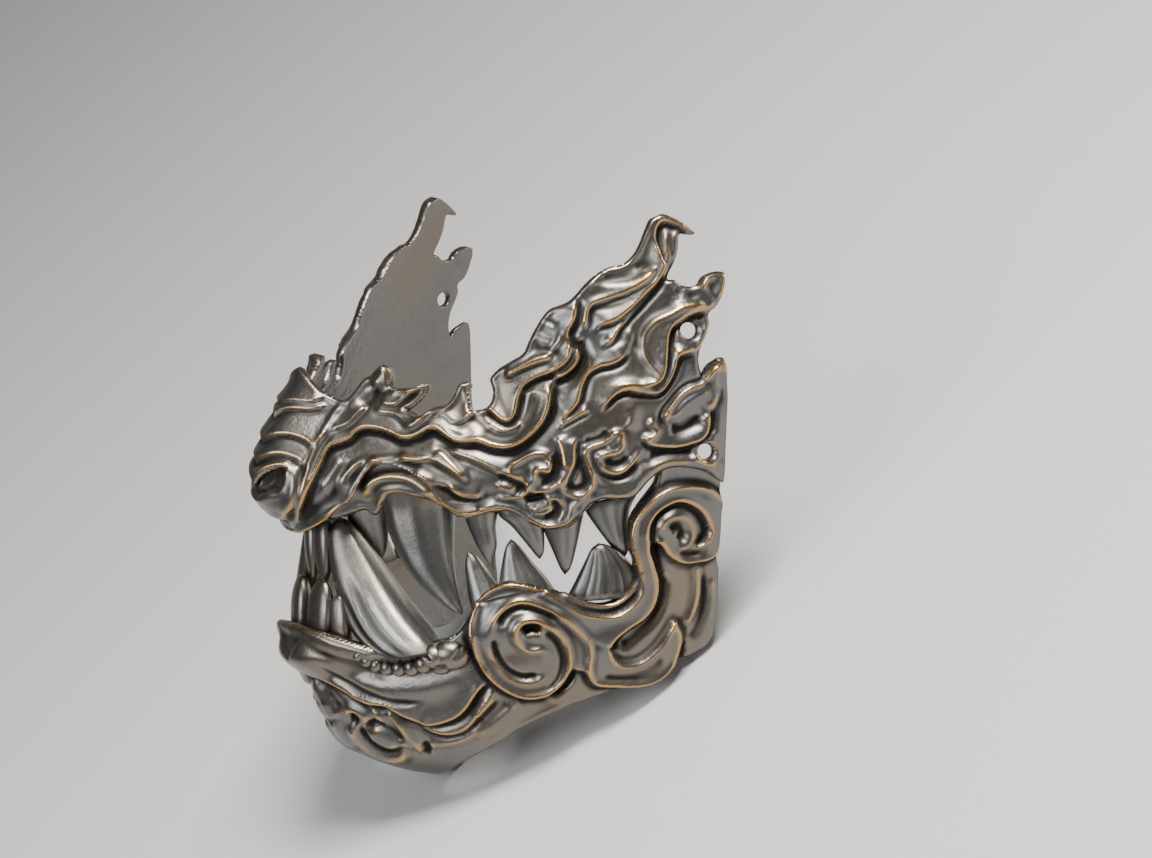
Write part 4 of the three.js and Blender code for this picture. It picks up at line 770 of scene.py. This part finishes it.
tooth("upper_fang", [(375, 484), (380.6, 503), (387, 528), (396, 550), (413, 577), (434, 598), (452, 611), (461, 615)],
      [(458, 488), (455.5, 510), (454.8, 527), (454.2, 553.6), (456, 577), (460, 597), (463.5, 610), (461, 615)], (9.5, 4.4, 4.0), flat=0.62,
      folds=((70, 16, 0.06, 0.05, 0.8), (118, 9, 0.05, 0.05, 0.6), (35, 8, 0.05, 0.05, 0.7), (150, 8, 0.04, 0.05, 0.6)))
tooth("lower_tusk", [(392, 659), (374, 653), (358, 640), (347, 623), (340, 604), (334, 584), (330, 562), (328.5, 543), (330.5, 527), (335, 519.5), (340, 517)],
      [(446, 652), (438, 634), (421, 612.5), (404, 590.5), (385, 563.5), (368, 541), (356, 527), (349, 520.5), (340, 517)], (32.5, 15.2, 8.2), flat=0.66, aside=True,
      folds=((112, 6, 0.15, 0.0, 0.68), (143, 6, 0.14, 0.0, 0.56), (66, 12, -0.08, 0.0, 0.95), (88, 9, 0.05, 0.04, 0.6), (28, 8, 0.04, 0.04, 0.5)))
tooth("upper_tooth_1", [(462, 508), (465.5, 520), (474, 540), (483, 556), (491.6, 567)], [(500, 506), (496, 525), (497, 545), (491.6, 567)], (5.0, 4.0, 4.4), flat=0.7,
      folds=((80, 14, 0.08, 0.0, 0.7),))
tooth("upper_tooth_2", [(496, 508), (500, 517), (512, 527), (528, 546), (537, 557), (540.5, 559)], [(541, 507), (543, 522), (544.4, 536), (544, 551), (540.5, 559)], (5.0, 3.8, 4.4), flat=0.62,
      folds=((70, 14, 0.08, 0.0, 0.8), (110, 10, 0.06, 0.0, 0.7)))
tooth("upper_tooth_3", [(541, 524), (545.5, 535), (553, 552), (560, 568), (565, 575)], [(585, 508), (581.5, 524), (577, 545), (571, 567), (565, 575)], (5.2, 4.2, 4.4), flat=0.66,
      folds=((80, 14, 0.07, 0.0, 0.8),))
tooth("upper_tooth_4", [(583, 504), (587, 514), (601, 534), (614, 550), (624, 559)], [(637, 494), (630, 510), (628, 530), (629, 548), (624, 559)], (6.6, 5.6, 6.2), flat=0.5,
      folds=((70, 12, 0.08, 0.0, 0.8), (110, 12, 0.08, 0.0, 0.8)))
tooth("lower_tooth_1", [(474, 618), (470, 603), (467, 585), (465, 565), (467.5, 551)], [(504, 596), (496, 583), (487, 568), (477, 556), (467.5, 551)], (6.6, 5.2, 5.0), flat=0.7,
      folds=((80, 14, 0.08, 0.0, 0.8),))
tooth("lower_tooth_2", [(497, 602), (499, 582), (502.5, 560), (506, 546), (511, 539)], [(562, 600), (547, 578), (532, 561), (519, 545), (511, 539)], (6.8, 5.4, 5.0), flat=0.55,
      folds=((70, 10, 0.10, 0.0, 0.9), (95, 8, 0.10, 0.0, 0.8), (120, 10, 0.08, 0.0, 0.8), (50, 8, 0.08, 0.0, 0.8)))
tooth("lower_tooth_3", [(564, 602), (575, 581), (584, 563), (591, 549), (598.5, 543)], [(645, 596), (636, 570), (621, 553), (608, 545), (598.5, 543)], (6.8, 5.2, 4.8), flat=0.55,
      folds=((50, 8, 0.16, 0.0, 0.95), (70, 7, 0.16, 0.0, 0.9), (90, 7, 0.16, 0.0, 0.9), (110, 7, 0.16, 0.0, 0.9), (132, 8, 0.16, 0.0, 0.9)))
front_tooth("upper_incisor_1", (323.5, 520), (325.5, 584), 3.5, 6.2, 4.8, 0.6)
tooth("upper_incisor_2", [(346, 500), (348, 520), (356, 538), (368, 552), (381, 561.5)], [(388, 498), (388, 520), (388.5, 536), (386.5, 550), (381, 561.5)], (11.5, 9.2, 9.8), flat=0.42, aside=True,
      folds=((80, 14, 0.05, 0.1, 0.8),))
front_tooth("lower_incisor_1", (320, 631), (323, 579), 6.4, 9.6, 5.2, 0.9)
front_tooth("lower_incisor_2", (342, 643), (338.5, 594), 12.4, 6.8, 4.8, 0.7, turn=0.5)


# ------------------------------------------------------------------ beads at the foot of the tusk
BEADS = [(358, 656, 5.6), (366.5, 661.5, 6.4), (376, 665.5, 7.2), (387, 668, 7.8), (399, 668.5, 8.4), (411.5, 667.5, 9.0), (423.5, 664, 9.6)]


def ball(center, radii, frame3, cut=None, n=18):
    lat = np.linspace(0, math.pi, n)
    lon = np.linspace(0, 2 * math.pi, 2 * n, endpoint=False)
    S = np.stack([np.sin(lat)[:, None] * np.cos(lon), np.sin(lat)[:, None] * np.sin(lon), np.broadcast_to(np.cos(lat)[:, None], (n, 2 * n))], -1)
    k = np.ones(S.shape[:2])
    if cut is not None:
        for angle, depth, width in cut:
            g = S[..., 0] * math.cos(angle) + S[..., 1] * math.sin(angle)
            k = k - depth * np.exp(-((g / width) ** 2)) * (np.abs(S[..., 2]) < 0.95)
    V = center + (S * k[..., None] * radii) @ frame3
    # painted shade in the cuts and on the side of each ball towards the plate
    painted_shade = np.clip((1 - k) * 6 + 0.55 * (S[..., 2] * 0 + (S @ np.array([0, 0, 1.0]) < -0.4)), 0, 1)
    rings = V[1:-1]
    verts, tri = lathe(rings, V[-1, 0], V[0, 0])
    at = np.concatenate([painted_shade[1:-1].ravel(), [painted_shade[0, 0], painted_shade[-1, 0]]])
    if volume(verts, tri) < 0:
        tri = tri[:, ::-1]
    return verts, tri, at


def beads():
    allv, allt, alld, base = [], [], [], 0
    for k, (x, y, r) in enumerate(BEADS):
        p, n = on_face(x, y, 0.3)
        a, b = BEADS[max(0, k - 1)], BEADS[min(len(BEADS) - 1, k + 1)]
        along = on_face(b[0], b[1])[0] - on_face(a[0], a[1])[0]
        along = along - n * (along @ n)
        along /= np.linalg.norm(along)
        F = np.stack([along, np.cross(n, along), n])
        rr = r / PX
        v, t, d = ball(p, np.array([rr * 0.98, rr * 1.08, rr * 1.05]), F)
        allv.append(v); allt.append(t + base); alld.append(d); base += len(v)
    # the large round boss at the tusk's heel, with its split
    for (x, y), radii, cut in (((434.5, 656), (4.3, 3.5, 4.1), ((0.75, 0.17, 0.15),)), ((451, 655.5), (5.6, 4.5, 4.0), ((2.5, 0.1, 0.1), (2.2, 0.08, 0.1))), ((441, 667), (3.0, 2.2, 2.6), None)):
        p, n = on_face(x, y, 0.4)
        e = np.cross(n, [0, 0, 1.0]); e /= np.linalg.norm(e)
        v, t, d = ball(p, np.array(radii), np.stack([e, np.cross(n, e), n]), cut, n=26)
        allv.append(v); allt.append(t + base); alld.append(d); base += len(v)
    V, T, D = np.concatenate(allv), np.concatenate(allt), np.concatenate(alld)
    add_pair("gum_beads", V, T, {"wear_and_highlight": 0.35 + 0 * D, "painted_shade": D})


beads()
print("teeth and beads", sum(len(ob.data.polygons) for ob, _ in PIECES))


# ------------------------------------------------------------------ materials
def material(name, mid, edge, shade_color, rough, streaks=False, bump=0.2, hammered=0.45):
    m = bpy.data.materials.new(name)
    m.use_nodes = True
    nt = m.node_tree
    nt.nodes.clear()
    new, wire = nt.nodes.new, nt.links.new

    def node(kind, **inputs):
        n = new(kind)
        for k, v in inputs.items():
            if k in n.inputs:
                n.inputs[k].default_value = v
            else:
                setattr(n, k, v)
        return n

    def mix(a, b, factor, blend="MIX"):
        n = new("ShaderNodeMix")
        n.data_type, n.blend_type = "RGBA", blend
        for value, socket in ((factor, 0), (a, 6), (b, 7)):
            if isinstance(value, (int, float)):
                n.inputs[socket].default_value = value
            elif isinstance(value, tuple):
                n.inputs[socket].default_value = value
            else:
                wire(value, n.inputs[socket])
        return n.outputs[2]

    def math_node(op, a, b=None, clamp=False):
        n = new("ShaderNodeMath")
        n.operation, n.use_clamp = op, clamp
        for k, value in enumerate((a, b)):
            if value is None:
                continue
            if isinstance(value, (int, float)):
                n.inputs[k].default_value = value
            else:
                wire(value, n.inputs[k])
        return n.outputs[0]

    out = new("ShaderNodeOutputMaterial")
    bsdf = new("ShaderNodeBsdfPrincipled")
    wire(bsdf.outputs[0], out.inputs[0])
    coord = new("ShaderNodeTexCoord")
    wear_and_highlight = new("ShaderNodeAttribute"); wear_and_highlight.attribute_name = "wear_and_highlight"
    painted_shade = new("ShaderNodeAttribute"); painted_shade.attribute_name = "painted_shade"

    def noise(scale, detail=4.0, rough_=0.55, vector=None, distort=0.0):
        n = new("ShaderNodeTexNoise")
        n.inputs["Scale"].default_value = scale
        n.inputs["Detail"].default_value = detail
        n.inputs["Roughness"].default_value = rough_
        n.inputs["Distortion"].default_value = distort
        wire(vector if vector is not None else coord.outputs["Object"], n.inputs["Vector"])
        return n.outputs["Fac"]

    patches = noise(55, 5, 0.6)
    grain = noise(700, 4, 0.6)
    speck = noise(2400, 2, 0.5)
    # patina: broad patches and fine grain over the base tone
    tone = mix((mid[0] * 0.70, mid[1] * 0.75, mid[2] * 0.84, 1), tuple(min(1, c * 1.28) for c in mid[:3]) + (1,), patches)
    warm = mix(tone, (mid[0] * 1.25, mid[1] * 1.02, mid[2] * 0.78, 1), math_node("MULTIPLY", math_node("SUBTRACT", noise(28, 3), 0.45, True), 2.2, True))
    if streaks:
        g = new("ShaderNodeAttribute"); g.attribute_name = "grain"
        sc = new("ShaderNodeVectorMath"); sc.operation = "MULTIPLY"
        wire(g.outputs["Vector"], sc.inputs[0]); sc.inputs[1].default_value = (2.6, 2.6, 1.0)
        lines = noise(1.7, 2.5, 0.5, sc.outputs[0])
        warm = mix(warm, (mid[0] * 0.45, mid[1] * 0.45, mid[2] * 0.47, 1), math_node("MULTIPLY", math_node("SUBTRACT", lines, 0.5, True), 1.7, True))
    # edges rubbed through to a golden brown and painted highlight on the crests, broken up by the grain
    rub_and_highlight = math_node("ADD", wear_and_highlight.outputs["Fac"], math_node("MULTIPLY", math_node("SUBTRACT", grain, 0.5), 0.5))
    rub_and_highlight = math_node("MULTIPLY", math_node("SUBTRACT", rub_and_highlight, 0.3, True), 1.5, True)
    rub_and_highlight = math_node("MULTIPLY", rub_and_highlight, math_node("ADD", 0.15, math_node("MULTIPLY", noise(130, 3, 0.6), 1.45)), True)
    color = mix(warm, edge, rub_and_highlight)
    # painted shade: hollows take the dark shade colour, broken up by the patches
    painted_shade_mix = math_node("ADD", painted_shade.outputs["Fac"], math_node("MULTIPLY", math_node("SUBTRACT", patches, 0.5), 0.35))
    painted_shade_mix = math_node("MULTIPLY", math_node("SUBTRACT", painted_shade_mix, 0.1, True), 1.1, True)
    color = mix(color, shade_color, painted_shade_mix)
    wire(color, bsdf.inputs["Base Color"])
    bsdf.inputs["Metallic"].default_value = 1.0
    r = math_node("ADD", rough - 0.09, math_node("MULTIPLY", grain, 0.16))
    r = math_node("ADD", r, math_node("MULTIPLY", painted_shade_mix, 0.28))
    r = math_node("SUBTRACT", r, math_node("MULTIPLY", rub_and_highlight, 0.08))
    wire(r, bsdf.inputs["Roughness"])
    h = math_node("ADD", math_node("MULTIPLY", grain, 0.7), math_node("MULTIPLY", speck, 0.3))
    if streaks:
        h = math_node("ADD", h, math_node("MULTIPLY", lines, 1.0))
    b = new("ShaderNodeBump")
    b.inputs["Strength"].default_value = bump
    b.inputs["Distance"].default_value = 0.0003
    wire(h, b.inputs["Height"])
    # hammered patches, all over on the inside
    inner = new("ShaderNodeAttribute"); inner.attribute_name = "inner"
    where = math_node("MULTIPLY", math_node("SUBTRACT", noise(42, 2), 0.47, True), 7.0, True)
    beaten = math_node("MULTIPLY", inner.outputs["Fac"], math_node("ADD", noise(230, 1.5, 0.4), math_node("MULTIPLY", noise(620, 1, 0.4), 0.4)))
    beaten = math_node("ADD", beaten, math_node("MULTIPLY", where, math_node("MULTIPLY", noise(900, 2, 0.5), 0.26)))
    b2 = new("ShaderNodeBump")
    b2.inputs["Strength"].default_value = hammered
    b2.inputs["Distance"].default_value = 0.0009
    wire(beaten, b2.inputs["Height"])
    wire(b.outputs[0], b2.inputs["Normal"])
    wire(b2.outputs[0], bsdf.inputs["Normal"])
    return m


PLATE_M = material("dark_plate", (0.166, 0.158, 0.145, 1), (0.44, 0.285, 0.135, 1), (0.022, 0.020, 0.018, 1), 0.34)
GUM_M = material("dark_gum", (0.163, 0.155, 0.143, 1), (0.44, 0.29, 0.14, 1), (0.022, 0.020, 0.018, 1), 0.35, hammered=0.12)
TOOTH_M = material("grey_tooth", (0.182, 0.174, 0.158, 1), (0.34, 0.285, 0.205, 1), (0.024, 0.022, 0.020, 1), 0.32, streaks=True, hammered=0.08)


def finish_piece(ob, nodes, mat):
    ob.data.materials.append(mat)
    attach(ob, "root")
    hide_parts(*nodes)


finish_piece(upper, ["upper_guard"], PLATE_M)
finish_piece(jaw, ["jaw_guard"], PLATE_M)
finish_piece(gum, ["upper_gum"], GUM_M)
for ob, node_name in PIECES:
    is_gum = node_name.startswith("gum")
    finish_piece(ob, [node_name], GUM_M if is_gum else TOOTH_M)


# ------------------------------------------------------------------ floor, light and camera
def plain(name, color, rough=0.85):
    m = bpy.data.materials.new(name)
    m.use_nodes = True
    nt = m.node_tree
    bsdf = nt.nodes["Principled BSDF"]
    bsdf.inputs["Roughness"].default_value = rough
    n = nt.nodes.new("ShaderNodeTexNoise")
    n.inputs["Scale"].default_value = 6
    ramp = nt.nodes.new("ShaderNodeValToRGB")
    ramp.color_ramp.elements[0].color = tuple(c * 0.97 for c in color) + (1,)
    ramp.color_ramp.elements[1].color = tuple(color) + (1,)
    nt.links.new(n.outputs["Fac"], ramp.inputs[0])
    nt.links.new(ramp.outputs[0], bsdf.inputs["Base Color"])
    return m


def sweep():
    """Floor that curves up into a backdrop, far behind the guard."""
    prof = [(-3.0, 0.0), (1.2, 0.0)] + [(1.2 + 0.8 * math.sin(a), 0.8 - 0.8 * math.cos(a)) for a in np.linspace(0.1, math.pi / 2, 14)] + [(2.0, 3.0)]
    # it faces the view: the run goes back from the camera
    d = np.array([-0.93, 0.36])
    side = np.array([-d[1], d[0]])
    verts, faces = [], []
    for s in (-4, 4):
        for y, z in prof:
            verts.append((*(d * y + side * s), z))
    n = len(prof)
    for i in range(n - 1):
        faces.append((i, i + 1, n + i + 1, n + i))
    me = bpy.data.meshes.new("sweep")
    me.from_pydata(verts, [], faces)
    me.polygons.foreach_set("use_smooth", [True] * len(me.polygons))
    ob = link(me, "sweep")
    me.materials.append(plain("pale_floor", (0.60, 0.60, 0.595)))


sweep()


def area(name, where, look, size, power, color=(1, 1, 1)):
    L = bpy.data.lights.new(name, "AREA")
    L.shape, L.size, L.size_y, L.energy, L.color = "RECTANGLE", size[0], size[1], power, color
    ob = bpy.data.objects.new(name, L)
    bpy.context.scene.collection.objects.link(ob)
    ob.location = where
    ob.rotation_euler = (Vector(look) - Vector(where)).to_track_quat("-Z", "Y").to_euler()
    return ob


# camera: the view's own frame, leaned with the guard
c, s = math.cos(LEAN), math.sin(LEAN)
turn = np.array([[1, 0, 0], [0, c, s], [0, -s, c]])
eye = to_row(EYE[None])[0]
r, up, back = turn @ RIGHT, turn @ UP, turn @ BACK
cam_data = bpy.data.cameras.new("view")
cam_data.sensor_width = 36
cam_data.lens = 112.5
cam_data.clip_start, cam_data.clip_end = 0.05, 50
cam = bpy.data.objects.new("view", cam_data)
bpy.context.scene.collection.objects.link(cam)
cam.matrix_world = Matrix(((r[0], up[0], back[0], eye[0]), (r[1], up[1], back[1], eye[1]), (r[2], up[2], back[2], eye[2]), (0, 0, 0, 1)))
bpy.context.scene.camera = cam

mid = np.array([0.0, -0.005, 0.055])
key = mid + 0.7 * back - 0.05 * r + 0.85 * up
fill = mid + 0.85 * back - 0.75 * r + 0.0 * up
rim = mid - 0.2 * back + 0.95 * r + 0.55 * up
area("key", key, mid, (0.4, 0.4), 25, (1.0, 0.96, 0.91))
area("fill", fill, mid, (0.6, 0.6), 8, (0.93, 0.96, 1.0))
area("rim", rim, mid, (0.35, 0.6), 11, (1.0, 0.95, 0.88))

world = bpy.data.worlds.new("studio")
bpy.context.scene.world = world
world.use_nodes = True
world.node_tree.nodes["Background"].inputs[0].default_value = (0.75, 0.76, 0.78, 1)
world.node_tree.nodes["Background"].inputs[1].default_value = 0.24

bpy.context.view_layer.update()
